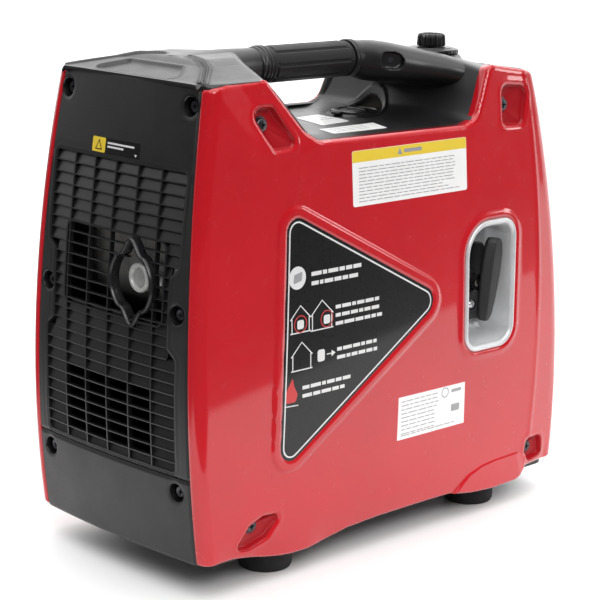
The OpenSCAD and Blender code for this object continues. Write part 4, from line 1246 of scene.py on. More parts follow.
    # moulded collars at each end of the grip
    cols = []
    for x0, d in ((-66.6, -1), (41.6, 1)):
        prof = [(13, 0), (17.4, 0), (18.0, 0.5), (18.0, 2.4), (17.3, 3.0), (17.3, 3.7), (18.0, 4.3), (18.0, 6.4), (17.4, 7.0), (16.9, 7.7), (17.0, 8.6), (17.0, 10.6), (16.2, 11.6), (13, 12)]
        cols.append(lathe("collar", prof, "x" if d > 0 else "-x", (x0, 0, 445.2), BLACK_TOP, 64))
    # screws at the bottom of the oval recesses
    sc = []
    for s in (-1, 1):
        q = lathe("neck_screw", [(0, 0.4), (2.8, 0.2), (3.8, -0.8), (3.8, -3), (0, -3)], "-y" if s < 0 else "y", (0, 0, 0), SCREW, 28)
        q.data.transform(Matrix.Translation((83.6 * MM, s * 20.6 * MM, 442.5 * MM)) @ Matrix.Rotation(s * math.radians(30), 4, "Z"))
        sc.append(q)
    ob = join("top_cover_piece", [ob, hr, hf, core] + cols + sc)
    finish_piece(ob, "chassis", ["top_cover"])


top_cover()


def grip():
    """Rubber sleeve with long flats let into it."""
    xs = np.linspace(-66, 41, 140)
    a = np.linspace(0, 2 * math.pi, 240, endpoint=False)
    X, A = np.meshgrid(xs, a)
    R = 16.7 + 0 * X
    e = np.clip(np.minimum(X + 66, 41 - X), 0, 2.0)
    R -= 2.0 - np.sqrt(np.maximum(0, 4 - (2 - e) ** 2))
    # eight long panels with rounded ends
    s = ((np.degrees(A) + 360) % 45 - 22.5) / 22.5
    across = np.abs(s) * 6.55
    along = np.abs(X + 12.5)
    q = np.maximum(across - 4.0, 0) ** 2 + np.maximum(along - 45.5, 0) ** 2
    d = np.sqrt(q) - 1.6
    R += 0.45 * smooth(0.7, -0.7, d) - 0.7 * np.exp(-((d - 0.2) / 0.55) ** 2)
    v = np.stack([X, R * np.cos(A), 445.2 + R * np.sin(A)], -1)
    n, m = X.shape
    Ri = 12.7
    vi = np.stack([X, Ri * np.cos(A), 445.2 + Ri * np.sin(A)], -1)
    V = np.vstack([v.reshape(-1, 3), vi.reshape(-1, 3)])
    K = n * m
    f = []
    for i in range(n):
        i2 = (i + 1) % n
        for j in range(m - 1):
            f.append((i * m + j, i2 * m + j, i2 * m + j + 1, i * m + j + 1))
            f.append((K + i * m + j, K + i * m + j + 1, K + i2 * m + j + 1, K + i2 * m + j))
        f.append((i * m, K + i * m, K + i2 * m, i2 * m))
        f.append((i * m + m - 1, i2 * m + m - 1, K + i2 * m + m - 1, K + i * m + m - 1))
    ob = make("handle_grip_piece", V, f, GRIP, shade=False)
    bm = bmesh.new()
    bm.from_mesh(ob.data)
    bmesh.ops.recalc_face_normals(bm, faces=bm.faces)
    bm.to_mesh(ob.data)
    bm.free()
    ob.data.shade_smooth()
    sharp_edges(ob, 60)
    finish_piece(ob, "chassis", ["handle_grip"])


grip()


def plug_cover():
    d = lathe("plug_disc", [(0, 0.6), (10, 0.6), (16.5, 0.3), (17.6, -0.4), (19, -0.4), (20, 0.8), (24.6, 0.9), (25.8, 0.2), (25.9, -1.6), (24, -2.4), (23.8, -8.6), (22, -9.6), (0, -9.6)], "z", (92, 30, 388.6), TRIM, 72)
    tab = plate("plug_tab", rounded([(58.5, 24.6), (69, 23.6), (69, 36.4), (58.5, 35.4)], 4), "z", 386.6, 389.2, TRIM, 0.7)
    notch = plate("plug_bar", rrect(5, 26, 2, 92, 30), "z", 388.6, 390.4, TRIM, 0.7)
    finish_piece(join("plug_access_cover_piece", [d, tab, notch]), "plug_access_cover", ["plug_access_cover"])


plug_cover()


def fuel_cap():
    prof = [(14, -7), (17, -7), (17, 0), (26.2, 0.2), (26.8, 0.9), (26.8, 3.4), (26.2, 4.4), (24.6, 4.9), (21.5, 5.2), (20.6, 6.0), (18, 6.3), (4.2, 6.3), (4.2, 2)]
    base = lathe("cap_base", prof, "z", (164, 0, 443.6), TRIM, 96)
    ribs = []
    for k in range(36):
        a = k * math.pi / 18
        r = plate("rib", rrect(1.1, 1.8, 0.4, 0, 0, 3), "z", 444.2, 447.4, TRIM, 0.2, 1)
        r.data.transform(Matrix.Translation((164 * MM, 0, 0)) @ Matrix.Rotation(a, 4, "Z") @ Matrix.Translation((26.6 * MM, 0, 0)))
        ribs.append(r)
    finish_piece(join("fuel_cap_piece", [base] + ribs), "fuel_cap", ["fuel_cap"])
    a = np.linspace(0, 2 * math.pi, 180, endpoint=False)
    v, f = [], []
    rows = [(0.0, 444.4, 0), (0.29, 444.4, 0), (0.29, 450.4, 0), (0.93, 450.5, 1), (1.0, 451.4, 1), (1.0, 453.4, 1), (0.985, 456, 1), (0.975, 459.2, 1), (0.93, 461.4, 1), (0.86, 462.5, 1), (0.76, 462.9, 0.8),
            (0.70, 462.3, 0.5), (0.66, 461.2, 0.2), (0.3, 461.0, 0), (0.0, 461.0, 0)]
    for k, z, w in rows:
        R = 13.4 + w * 0.9 * (np.cos(8 * a) ** 2 * 2 - 1)
        R = R * k
        for q, b in zip(R, a):
            v.append([164 + q * math.cos(b), q * math.sin(b), z])
    n = len(a)
    for i in range(len(rows) - 1):
        for j in range(n):
            f.append((i * n + j, i * n + (j + 1) % n, (i + 1) * n + (j + 1) % n, (i + 1) * n + j))
    ob = make("fuel_vent_knob_piece", v, f, TRIM, shade=False)
    bm = bmesh.new()
    bm.from_mesh(ob.data)
    bmesh.ops.remove_doubles(bm, verts=bm.verts, dist=1e-6)
    bmesh.ops.recalc_face_normals(bm, faces=bm.faces)
    bm.to_mesh(ob.data)
    bm.free()
    ob.data.shade_smooth()
    sharp_edges(ob, 45)
    mark = plate("vent_mark", rounded([(162.8, 4), (165.2, 4), (165.2, 9), (162.8, 9)], 0.5), "z", 460.9, 461.3, LIGHT_INK, 0.1, 1)
    finish_piece(join("fuel_vent_knob_piece", [ob, mark]), "fuel_vent_knob", ["fuel_vent_knob"])


fuel_cap()

# ---------------------------------------------------------------- starter
def starter():
    # silver bezel: rounded lip proud of the skin, running into a deep bowl
    o = resample(offset(BEZEL, 0.6), 1.6)
    n = len(o)
    c = o.mean(0)
    rows = [(0.4, 113.0), (0.4, 116.0), (0.1, 117.3), (-0.9, 118.2), (-2.2, 118.3), (-3.6, 117.6), (-4.6, 116.2), (-5.0, 114.2), (-4.9, 112.6), (-2.0, 112.2)]
    v, f = [], []
    for g, y in rows:
        q = offset(o, g)
        dz = -(ys(q[:, 1]) - ys(232.0))
        for p, zz in zip(q, dz):
            v.append([p[0], -(y + (ys(p[1]) - ys(232.0)) * 0.9), p[1]])
    R = len(rows)
    for i in range(R):
        for j in range(n):
            i2 = (i + 1) % R
            f.append((i * n + j, i * n + (j + 1) % n, i2 * n + (j + 1) % n, i2 * n + j))
    ob = make("starter_bezel_piece", v, f, SILVER, shade=False)
    bm = bmesh.new()
    bm.from_mesh(ob.data)
    bmesh.ops.recalc_face_normals(bm, faces=bm.faces)
    bm.to_mesh(ob.data)
    bm.free()
    ob.data.shade_smooth()
    sharp_edges(ob, 60)
    finish_piece(ob, "chassis", ["starter_bezel"])
    # bowl
    v, f = [], []
    rows = [(-5.2, 114.0), (-6.0, 110.0), (-7.2, 104.0), (-8.6, 97.0), (-10.6, 90.0), (-13.5, 85.5), (-17.5, 83.0), (-23, 82.0)]
    for g, y in rows:
        q = offset(o, g)
        for p in q:
            v.append([p[0], -y, p[1]])
    for t in (0.4, 0.8):
        q = offset(o, -23)
        cc = q.mean(0)
        for p in q * (1 - t) + cc * t:
            v.append([p[0], -81.8, p[1]])
    R = len(rows) + 2
    for i in range(R - 1):
        for j in range(n):
            f.append((i * n + j, i * n + (j + 1) % n, (i + 1) * n + (j + 1) % n, (i + 1) * n + j))
    f.append(tuple((R - 1) * n + j for j in range(n)))
    ob = make("starter_bowl", v, f, SILVER, shade=False)
    bm = bmesh.new()
    bm.from_mesh(ob.data)
    bmesh.ops.recalc_face_normals(bm, faces=bm.faces)
    bm.to_mesh(ob.data)
    bm.free()
    m = ob.modifiers.new("s", "SOLIDIFY")
    m.thickness = 1.4 * MM
    m.offset = -1 if ob.data.polygons[0].normal.dot(Vector((ob.data.polygons[0].center.x - 0.131, 0, ob.data.polygons[0].center.z - 0.232))) < 0 else 1
    bake(ob)
    ob.data.shade_smooth()
    sharp_edges(ob, 60)
    # black rope guide screwed to the bowl's floor
    g = plate("rope_guide", rounded([(112, 192), (154, 190), (156, 226), (156, 260), (150, 267), (120, 270), (108, 262), (108, 204)], [5, 5, 3, 6, 5, 8, 8, 8]), "y", -90.0, -81.8, TRIM, 1.4, 4)
    cut(g, [prism(circle(6.2, 132, 230), "y", -120, -60), prism(circle(5.4, 138, 206), "y", -120, -88.4)])
    boss_ = lathe("rope_boss", [(6.1, -1), (6.1, 4.6), (7.4, 6.2), (9.4, 5.4), (10.8, 2.2), (12.4, 0), (12.4, -1)], "-y", (132, -89.6, 230), TRIM, 44)
    ob = join("starter_cup_piece", [ob, g, boss_])
    finish_piece(ob, "chassis", ["starter_cup"])
    sc = lathe("cup_screw", [(0, 0.2), (3.4, -0.2), (4.4, -1.2), (4.5, -2.6), (0, -2.6)], "-y", (138, -89.8, 206), STEEL_BRIGHT, 32)
    cut(sc, [prism(rrect(0.9, 5.2, 0.3, 138, 206), "y", -92, -89.0), prism(rrect(5.2, 0.9, 0.3, 138, 206), "y", -92, -89.0)])
    finish_piece(sc, "chassis", ["starter_cup_screw"])
    # pull: a slim bevelled blade, widest above its middle, on a short stem
    v, f = [], []
    # along, half width, depth of the back and of the front, for a section with flat face and bevelled sides
    secs = [(-41, 2.6, 0.5), (-40, 4.4, 0.75), (-34, 6.6, 0.95), (-20, 9.0, 1), (0, 10.6, 1), (16, 10.9, 1), (28, 10.2, 0.98), (37, 8.6, 0.9), (40.4, 6.6, 0.72), (41, 4.6, 0.5)]
    d = np.array([math.sin(math.radians(8.5)), math.cos(math.radians(8.5))])
    s = np.array([d[1], -d[0]])
    shape = [(-0.40, 7.2), (0.88, 5.8), (1.0, 4.2), (0.96, -1.6), (0.7, -5.4), (0.4, -6.4), (-0.4, -6.4), (-0.7, -5.4), (-0.98, -1.2), (-1.0, 1.0)]
    for t, w, h in secs:
        for cu, cv in shape:
            q = np.array([141.2, 234]) + d * t + s * cu * w
            v.append([q[0], -106.2 - cv * h, q[1]])
    n = len(shape)
    for i in range(len(secs) - 1):
        for j in range(n):
            f.append((i * n + j, i * n + (j + 1) % n, (i + 1) * n + (j + 1) % n, (i + 1) * n + j))
    f.append(tuple(range(n)))
    f.append(tuple(range(len(v) - 1, len(v) - 1 - n, -1)))
    pull = make("pull", v, f, PULL, shade=False)
    bm = bmesh.new()
    bm.from_mesh(pull.data)
    bmesh.ops.recalc_face_normals(bm, faces=bm.faces)
    bm.to_mesh(pull.data)
    bm.free()
    m = pull.modifiers.new("bevel", "BEVEL")
    m.width = 0.55 * MM
    m.segments = 3
    m.angle_limit = math.radians(14)
    m.limit_method = "ANGLE"
    bake(pull)
    pull.data.shade_smooth()
    sharp_edges(pull, 22)
    stem = lathe("stem", [(5.4, -13), (6.2, -11), (7.0, -4), (8.4, 1), (9.6, 6)], "-y", (134, -98, 231), GRIP, 40)
    finish_piece(join("starter_handle_piece", [pull, stem]), "starter_handle", ["starter_handle"])


starter()

# ---------------------------------------------------------------- printed labels
def side_patch(name, outline, out, mat, thick=0.12, cell=6.0):
    """A thin film laid on the starter side's skin."""
    o = np.asarray(outline, float)
    ob = prism(o, "y", 0, 1, name, mat)
    bm = bmesh.new()
    bm.from_mesh(ob.data)
    lo, hi = o.min(0), o.max(0)
    for ax, k in ((0, 0), (2, 1)):
        n = int((hi[k] - lo[k]) / cell)
        for i in range(1, n + 1):
            co = [0, 0, 0]
            no = [0, 0, 0]
            co[ax] = (lo[k] + (hi[k] - lo[k]) * i / (n + 1)) * MM
            no[ax] = 1
            bmesh.ops.bisect_plane(bm, geom=bm.verts[:] + bm.edges[:] + bm.faces[:], plane_co=co, plane_no=no)
    co = np.array([v.co for v in bm.verts]) / MM
    s = side_surface(co[:, 0], co[:, 2], 0.0)
    for v, p, q in zip(bm.verts, s, co):
        v.co = (p[0] * MM, (p[1] - out + (thick if q[1] > 0.5 else 0)) * MM, p[2] * MM)
    bm.to_mesh(ob.data)
    bm.free()
    ob.data.shade_smooth()
    sharp_edges(ob, 40)
    return ob


def bars(name, x0, x1, ztop, rows, pitch, h, mat, out, seed, skew=0.0):
    """Rows of plain bars in the place of printing."""
    g = np.random.default_rng(seed)
    obs = []
    for k in range(rows):
        z = ztop - k * pitch
        x = x0
        end = x0 + (x1 - x0) * g.uniform(0.84, 1.0)
        while x < end - 3:
            w = min(g.uniform(4, 13), end - x)
            obs.append(side_patch(name + "b", [(x, z), (x, z - h), (x + w, z - h), (x + w, z)], out, mat, 0.05, 30))
            x += w + 1.5
    return obs


def labels():
    obs = []
    # black triangular film, its thin white line and simple pictograms
    obs.append(side_patch("tri", resample(offset(TRI, -0.8), 3), 0.14, BLACK_FILM, 0.2, 8))
    ln = resample(offset(resample(TRI, 2), -4.4), 2.4)
    p = side_surface(ln[:, 0], ln[:, 1], 0.18)
    obs.append(sweep("tri_line", p, [(-0.75, -0.05), (0.75, -0.05), (0.75, 0.06), (-0.75, 0.06)], (0, -1, 0), LIGHT_INK))
    disc = circle(10.2, -127, 274)
    obs.append(side_patch("disc", disc, 0.24, LIGHT_INK, 0.06, 30))
    obs.append(side_patch("disc_page", rounded([(-132, 269), (-122, 271), (-121, 279), (-131, 277)], 1), 0.30, GREY_INK, 0.05, 30))

    def line(pts, w=1.1, mat=LIGHT_INK, closed=False, out=0.22):
        q = np.array(pts, float)
        s = side_surface(q[:, 0], q[:, 1], out)
        return sweep("ln", s, [(-w / 2, -0.04), (w / 2, -0.04), (w / 2, 0.05), (-w / 2, 0.05)], (0, -1, 0), mat, closed)

    def house(x, z, w, h):
        a = [line([(x, z), (x, z + h * 0.55)]), line([(x + w, z), (x + w, z + h * 0.55)]), line([(x - 2, z + h * 0.5), (x + w / 2, z + h), (x + w + 2, z + h * 0.5)]), line([(x - 2, z), (x + w + 2, z)])]
        return a

    obs += house(-134, 225, 21, 24) + house(-109, 224, 24, 26) + house(-133, 191, 22, 25)
    for cx, cz in ((-123.5, 232), (-91, 232)):
        obs.append(side_patch("gen", rrect(8, 8, 2, cx, cz), 0.22, LIGHT_INK, 0.05, 30))
        c = circle(7.4, cx, cz + 0.5, 28)
        obs.append(line(c, 0.9, RED_INK, True, 0.24))
    obs.append(side_patch("gen", rrect(9, 11, 2.4, -98, 200), 0.22, LIGHT_INK, 0.05, 30))
    obs.append(line([(-91, 200), (-84, 200)], 1.0))
    obs.append(side_patch("arrow", [(-85, 203), (-85, 197), (-80, 200)], 0.22, LIGHT_INK, 0.05, 30))
    fl = rounded([(-141, 163), (-129, 163), (-127, 170), (-131, 177), (-133, 185), (-138, 178), (-142, 171)], [3, 3, 2, 1, 0.4, 1, 2], 4)
    obs.append(side_patch("flame", fl, 0.22, RED_INK, 0.05, 30))
    obs.append(line([(-143, 160.5), (-126, 159.5)], 1.0))
    obs += bars("t1", -110, -42, 277, 2, 8.4, 3.6, LIGHT_INK, 0.22, 1)
    obs += bars("t2", -80, -14, 243, 3, 7.6, 3.3, LIGHT_INK, 0.22, 2)
    obs += bars("t3", -78, -18, 204, 2, 7.6, 3.3, LIGHT_INK, 0.22, 3)
    obs += bars("t4", -121, -60, 176, 2, 7.6, 3.3, LIGHT_INK, 0.22, 4)
    finish_piece(join("triangle_decal_piece", obs), "chassis", ["triangle_decal"])
    # white sticker with a yellow band
    obs = [side_patch("sticker", rounded([(-56.5, 328), (97, 328), (95.5, 378), (-57.5, 378)], 2.2), 0.14, WHITE, 0.16, 8)]
    obs.append(side_patch("band", rounded([(-57.1, 367.6), (95.6, 367.6), (95.3, 377.7), (-57.2, 377.7)], [0.3, 0.3, 2, 2]), 0.2, YELLOW, 0.08, 8))
    obs += [side_patch("tick", [(1, 370), (8, 370), (4.5, 376)], 0.24, GREY_INK, 0.05, 30), side_patch("tick2", rrect(24, 3.4, 1, 22, 372.8), 0.24, GREY_INK, 0.05, 30)]
    obs += bars("w", -49, 88, 362.5, 11, 3.0, 0.75, GREY_INK, 0.2, 7)
    # small sticker on the rear cover
    def rear_patch(nm, o, off, mat):
        ob = prism(np.asarray(o), "x", 0, 1, nm, mat)
        bm = bmesh.new()
        bm.from_mesh(ob.data)
        for k in range(1, 8):
            bmesh.ops.bisect_plane(bm, geom=bm.verts[:] + bm.edges[:] + bm.faces[:], plane_co=(0, (-34 + 74 * k / 8) * MM, 0), plane_no=(0, 1, 0))
        for v in bm.verts:
            y, z = v.co.y / MM, v.co.z / MM
            v.co.x = (float(rear_x(y, z)) - off + (0.25 if v.co.x > 0.0005 else 0)) * MM
        bm.to_mesh(ob.data)
        bm.free()
        return ob

    obs.append(rear_patch("rs1", rounded([(-29.5, 377), (35.5, 377), (35.5, 390.5), (-29.5, 390.5)], 1.6), 0.12, BLACK_FILM))
    obs.append(rear_patch("rs2", rounded([(17, 377.3), (35.2, 377.3), (35.2, 390.2), (17, 390.2)], 1.2), 0.2, YELLOW))
    obs.append(rear_patch("rs3", [(21, 379.4), (31, 379.4), (26, 388.6)], 0.26, BLACK_FILM))
    obs.append(rear_patch("rs3b", [(22.8, 380.4), (29.2, 380.4), (26, 386.6)], 0.3, YELLOW))
    for k, (a, b) in enumerate([(-22, 14), (-8, 14)]):
        obs.append(rear_patch("rs4", [(a, 385.6 - k * 3.2), (b, 385.6 - k * 3.2), (b, 387.2 - k * 3.2), (a, 387.2 - k * 3.2)], 0.22, LIGHT_INK))
    obs.append(rear_patch("rs5", [(-26.5, 380.6), (-23, 380.6), (-24.8, 378.4)], 0.22, LIGHT_INK))
    # stickers on the deck
    for nm, o in (("d1", [(18, 41), (52, 45), (50, 10), (44, -6), (2, -12)]), ("d2", [(-19, -29), (55, -27), (41, -59), (-28, -57)])):
        obs.append(prism(rounded(o, 1.5), "z", 385.05, 385.35, nm, WHITE))
    for k in range(3):
        obs.append(prism([(-12 - k * 2, -35 - k * 7), (34 - k * 3, -34 - k * 7), (33.5 - k * 3, -35.6 - k * 7), (-12.5 - k * 2, -36.6 - k * 7)], "z", 385.3, 385.42, "dl", GREY_INK))
        obs.append(prism([(22, 33 - k * 8), (46, 35 - k * 8), (46, 33.4 - k * 8), (22, 31.4 - k * 8)], "z", 385.3, 385.42, "dl", GREY_INK))
    finish_piece(join("warning_stickers_piece", obs), "chassis", ["warning_stickers"])
    obs = [side_patch("plate", rounded([(4, 100), (98.5, 99.5), (98.5, 140.5), (5, 141.5)], 0.6), 0.14, WHITE, 0.16, 8)]
    obs += bars("p", 9, 62, 137, 9, 3.9, 0.9, GREY_INK, 0.2, 17)
    obs += bars("p", 9, 92, 104, 1, 3.9, 0.9, GREY_INK, 0.2, 19)
    c = circle(4.6, 70, 135.0, 28)
    q = side_surface(c[:, 0], c[:, 1], 0.2)
    obs.append(sweep("plate_ring", q, [(-0.5, -0.04), (0.5, -0.04), (0.5, 0.05), (-0.5, 0.05)], (0, -1, 0), GREY_INK))
    obs.append(side_patch("blk", rrect(14, 3, 0.8, 86, 135), 0.2, GREY_INK, 0.05, 30))
    obs.append(side_patch("blk", rrect(12, 7, 1.5, 85, 118), 0.2, GREY_INK, 0.05, 30))
    finish_piece(join("rating_plate_piece", obs), "chassis", ["rating_plate"])


labels()

# ---------------------------------------------------------------- front end
def front_x(y, z, o=0.0):
    w = ys(z) - WRAP - 4.9
    return xf(z) + 2.5 * (1 - (y / w) ** 2) - o


def front():
    zs = np.linspace(31.4, 434, 190)
    ts = np.linspace(-1, 1, 110)
    T, Z = np.meshgrid(ts, zs)
    w = ys(Z) - WRAP - 5.0
    Y = T * w
    d = np.zeros_like(Y)
    e = np.clip(w - np.abs(Y), 0, 2)
    d += 2 - np.sqrt(np.maximum(0, 4 - (2 - e) ** 2))
    e = np.clip(434 - Z, 0, 4)
    d += 4 - np.sqrt(np.maximum(0, 16 - (4 - e) ** 2))
    fr = rounded([(-82, 181), (82, 181), (82, 407), (-82, 407)], 9)
    t = sdist(np.stack([Y.ravel(), Z.ravel()], 1), fr).reshape(Y.shape)
    d -= 1.0 * np.exp(-((t - 5) / 3.5) ** 2)
    d += 1.5 * smooth(1.6, -0.6, t)
    O = np.stack([front_x(Y, Z) + -d, Y, Z], -1)
    I = np.stack([front_x(Y, Z) - d - 2.6, Y, Z], -1)
    ob = grid_solid("front_cover_piece", O, I, BLACK)
    cutters = [prism(resample(fr, 3), "x", 180, 280)]
    for k in range(7):
        cutters.append(prism(rrect(130, 7, 3.4, 0, 62 + k * 14), "x", 200, 280))
    cut(ob, cutters)
    sharp_edges(ob, 38)
    # turned-in frame round the control panel
    g = resample(rrect(165.5, 229.5, 9, 0, 15), 3)
    path = np.stack([0 * g[:, 0] + 9.6, g[:, 0], g[:, 1]], 1)
    rim = sweep("front_rim", path, [(-0.6, 0.6), (1.6, 1.2), (2.4, 0.2), (2.4, -10), (-0.6, -10)], (1, 0, 0), BLACK)
    rim.data.transform(PANEL_M)
    lou = []
    for k in range(7):
        for s in (-1, 0, 1):
            r = plate("vane", rounded([(-0.9, -4.4), (0.9, -4.4), (0.9, 4.4), (-0.9, 4.4)], 0.6, 3), "y", -1.2, 1.2, BLACK, 0.3, 1)
            r.data.transform(Matrix.Translation((float(front_x(s * 32, 62 + k * 14)) * MM - 0.003, s * 0.032, (62 + k * 14) * MM)))
            lou.append(r)
    finish_piece(join("front_cover_piece", [ob, rim] + lou), "chassis", ["front_cover"])

    def P(o):
        o.data.transform(PANEL_M)
        return o

    # control panel plate
    pl = prism(resample(rrect(163.4, 227.4, 8.8, 0, 15), 4), "x", 4.2, 7.6, "control_panel_piece", PANEL)
    hole = [prism(circle(25.05, y, -28), "x", 0, 12) for y in (-38, 38)]
    hole += [prism(circle(14.05, -52, 52), "x", 0, 12), prism(circle(6.1, -62, 106), "x", 0, 12), prism(circle(8.3, 56, 52), "x", 0, 12),
             prism(rrect(23, 15, 1.5, 2, 52), "x", 0, 12), prism(circle(3.2, 60, -86), "x", 0, 12)]
    hole += [prism(circle(4.2, 38 + 18 * k, 108), "x", 0, 12) for k in (-1, 0, 1)]
    cut(pl, hole)
    soft(pl, 0.5, 2, 50)
    P(pl)
    marks = []
    for k in range(3):
        a = math.radians(60 - k * 60)
        m = prism(rrect(1.2, 4.4, 0.5, 0, 24), "x", 7.6, 7.75, "mark", LIGHT_INK)
        m.data.transform(Matrix.Translation((0, -62 * MM, 106 * MM)) @ Matrix.Rotation(a, 4, "X"))
        marks.append(P(m))
    for y0, y1, z in ((26, 50, 94), (-12, 16, 38), (44, 68, 36), (-64, -40, 28), (48, 72, -98)):
        marks.append(P(prism(rrect(y1 - y0, 2.4, 1, (y0 + y1) / 2, z), "x", 7.6, 7.75, "mark", LIGHT_INK)))
    fr2 = resample(rrect(150, 216, 6, 0, 15), 4)
    ln = sweep("panel_line", np.stack([0 * fr2[:, 0] + 7.6, fr2[:, 0], fr2[:, 1]], 1), [(-0.4, 0), (0.4, 0), (0.4, 0.15), (-0.4, 0.15)], (1, 0, 0), LIGHT_INK)
    marks.append(P(ln))
    finish_piece(join("control_panel_piece", [pl] + marks), "chassis", ["control_panel"])

    # engine switch dial
    k1 = lathe("dial_skirt", [(0, -12), (5.9, -12), (5.9, 0.4), (18.2, 0.4), (18.4, 1.2), (18.0, 4.6), (17.2, 5.8), (16.4, 6.2), (16.2, 22), (15.4, 23.4), (13.5, 24.0), (0, 24.0)], "x", (8.2, -62, 106), TRIM, 72)
    teeth = [prism(circle(1.5, -62 + 17.0 * math.cos(math.radians(a)), 106 + 17.0 * math.sin(math.radians(a)), 12), "x", 13.9, 50) for a in range(0, 360, 20)]
    cut(k1, teeth)
    k2 = plate("dial_blade", rrect(10, 32.6, 4, -62, 106), "x", 29.5, 40.2, TRIM, 1.6, 4)
    k3 = plate("dial_mark", rrect(1.4, 9, 0.6, -62, 116), "x", 40.0, 40.35, LIGHT_INK, 0.1, 1)
    sharp_edges(k1, 35)
    finish_piece(join("engine_switch_knob_piece", [P(k1), P(k2), P(k3)]), "engine_switch", ["engine_switch_knob"])

    # outlets
    socks = []
    for y in (-38, 38):
        s = plate("sock", rrect(58, 58, 6, y, -28), "x", 7.7, 10.9, SOCKET, 0.9, 3)
        cut(s, [prism(circle(19.9, y, -28), "x", 0, 14)])
        socks.append(s)
        socks.append(lathe("sock_well", [(19.75, 2.9), (20.6, 2.9), (24.6, 0), (24.6, -29.5), (0, -29.5), (0, -17.2), (19.2, -17.2), (19.75, -16.6), (19.75, 2.9)], "x", (8, y, -28), SOCKET, 64))
        for sg in (-1, 1):
            socks.append(lathe("pin_hole", [(2.5, 0.2), (3.4, 0.2), (3.4, -3), (2.5, -3), (2.5, 0.2)], "x", (-9.2, y + sg * 9.5, -28), BRASS, 24))
        for sg in (-1, 1):
            socks.append(plate("earth_clip", rrect(5, 1.4, 0.6, y, -28 + sg * 18.6), "x", -9.2, 5, BRASS, 0.3, 2))
        for a, b in ((-1, -1), (1, -1), (-1, 1), (1, 1)):
            socks.append(lathe("sock_screw", [(0, 0.9), (1.6, 0.9), (2.2, 0.4), (2.2, -1), (0, -1)], "x", (10.6, y + a * 24.5, -28 + b * 24.5), SCREW, 20))
    for s in socks:
        P(s)
    finish_piece(join("ac_sockets_piece", socks), "chassis", ["ac_sockets"])
    for nm, y in (("ac_lid_left", -38), ("ac_lid_right", 38)):
        zs = np.linspace(-27, 27, 44)
        Y2, Z2 = np.meshgrid(zs, zs)
        t = -sdist(np.stack([Y2.ravel(), Z2.ravel()], 1), rrect(54, 54, 6)).reshape(Y2.shape)
        e = np.clip(t, 0, 2.2)
        h = 14.5 - (2.2 - np.sqrt(np.maximum(0, 2.2 ** 2 - (2.2 - e) ** 2))) - 0.7 * smooth(7, 9.5, t)
        h += 0.0
        O = np.stack([h, y + Y2, -28 + Z2], -1)
        I = np.stack([11.5 + 0 * h, y + Y2, -28 + Z2], -1)
        lid = grid_solid(nm + "_skin", O, I, TRIM)
        cut(lid, [prism(rrect(53.6, 53.6, 6, y, -28), "x", 0, 30)], "INTERSECT")
        sharp_edges(lid, 40)
        tab = plate("tab", rounded([(y - 11.5, -54), (y + 11.5, -54), (y + 9, -50.4), (y - 9, -50.4)], 1), "x", 13.6, 18.2, TRIM, 0.8)
        bar = lathe("barrel", [(0, -22), (2.2, -22), (2.6, -21.4), (2.6, 21.4), (2.2, 22), (0, 22)], "y", (14, y, -0.5), TRIM, 32)
        ring = sweep("lid_ring", np.stack([0 * circle(19)[:, 0] + 13.8, circle(19, y, -28)[:, 0], circle(19, y, -28)[:, 1]], 1), [(-0.5, -0.3), (0.5, -0.3), (0.4, 0.3), (-0.4, 0.3)], (1, 0, 0), TRIM)
        finish_piece(join(nm + "_piece", [P(lid), P(tab), P(bar), P(ring)]), nm, [nm])
    # accessory socket
    d1 = lathe("dc", [(10.6, 2.9), (11.6, 3.0), (15.8, 2.6), (17.0, 1.4), (17.0, -0.2), (13.5, -0.2), (13.5, -33.6), (0, -33.6), (0, -29.8), (10.6, -29.8), (10.6, 2.9)], "x", (8, -52, 52), SOCKET, 64)
    d2 = lathe("dc_pin", [(0, 5), (2.2, 4.6), (3, 3.6), (3, 0), (0, 0)], "x", (-21.6, -52, 52), BRASS, 24)
    finish_piece(join("dc_socket_piece", [P(d1), P(d2)]), "chassis", ["dc_socket"])
    b1 = lathe("reset", [(0, 13.6), (6, 13.8), (7.2, 13.2), (7.55, 12.2), (7.55, 3.4), (9.5, 3.2), (9.5, 0.2), (0, 0.2)], "x", (0, 56, 52), SIGNAL, 48)
    finish_piece(P(b1), "reset_button", ["reset_button"])
    e1 = plate("eco", rrect(20.2, 13.2, 1.2, 0, 0), "x", -2.5, 6.0, TRIM, 0.9, 3)
    e2 = plate("eco_mark", rrect(1.2, 5, 0.4, -6, 0), "x", 5.95, 6.15, LIGHT_INK, 0.05, 1)
    for e in (e1, e2):
        e.data.transform(Matrix.Translation((5 * MM, 2 * MM, 52 * MM)) @ Matrix.Rotation(math.radians(-7), 4, "Z"))
        P(e)
    finish_piece(join("eco_rocker_piece", [e1, e2]), "eco_rocker", ["eco_rocker"])
    ls = []
    for k, mt in zip((-1, 0, 1), (LENS_R, LENS_Y, LENS_G)):
        ls.append(P(lathe("lens", [(0, 3.5), (1.8, 3.3), (3.2, 2.5), (3.9, 1.2), (4.0, 0), (4.0, -6), (0, -6)], "x", (8, 38 + 18 * k, 108), mt, 32)))
    finish_piece(join("indicator_lights_piece", ls), "chassis", ["indicator_lights"])
    t1 = lathe("stud", [(0, 13.8), (2.4, 13.8), (3.0, 13.2)] + [(3.05 - 0.25 * (i % 2), 12.8 - i * 0.5) for i in range(34)] + [(3, -6), (0, -6)], "x", (0, 60, -86), BRASS, 32)
    t2 = lathe("washer", [(3.2, 0), (7.4, 0), (7.4, 1), (3.2, 1)], "x", (8, 60, -86), BRASS, 32)
    t3 = plate("nut", circle(6, 60, -86, 6), "x", 9, 12.5, BRASS, 0.4, 2)
    finish_piece(join("ground_terminal_piece", [P(t1), P(t2), P(t3)]), "chassis", ["ground_terminal"])


front()

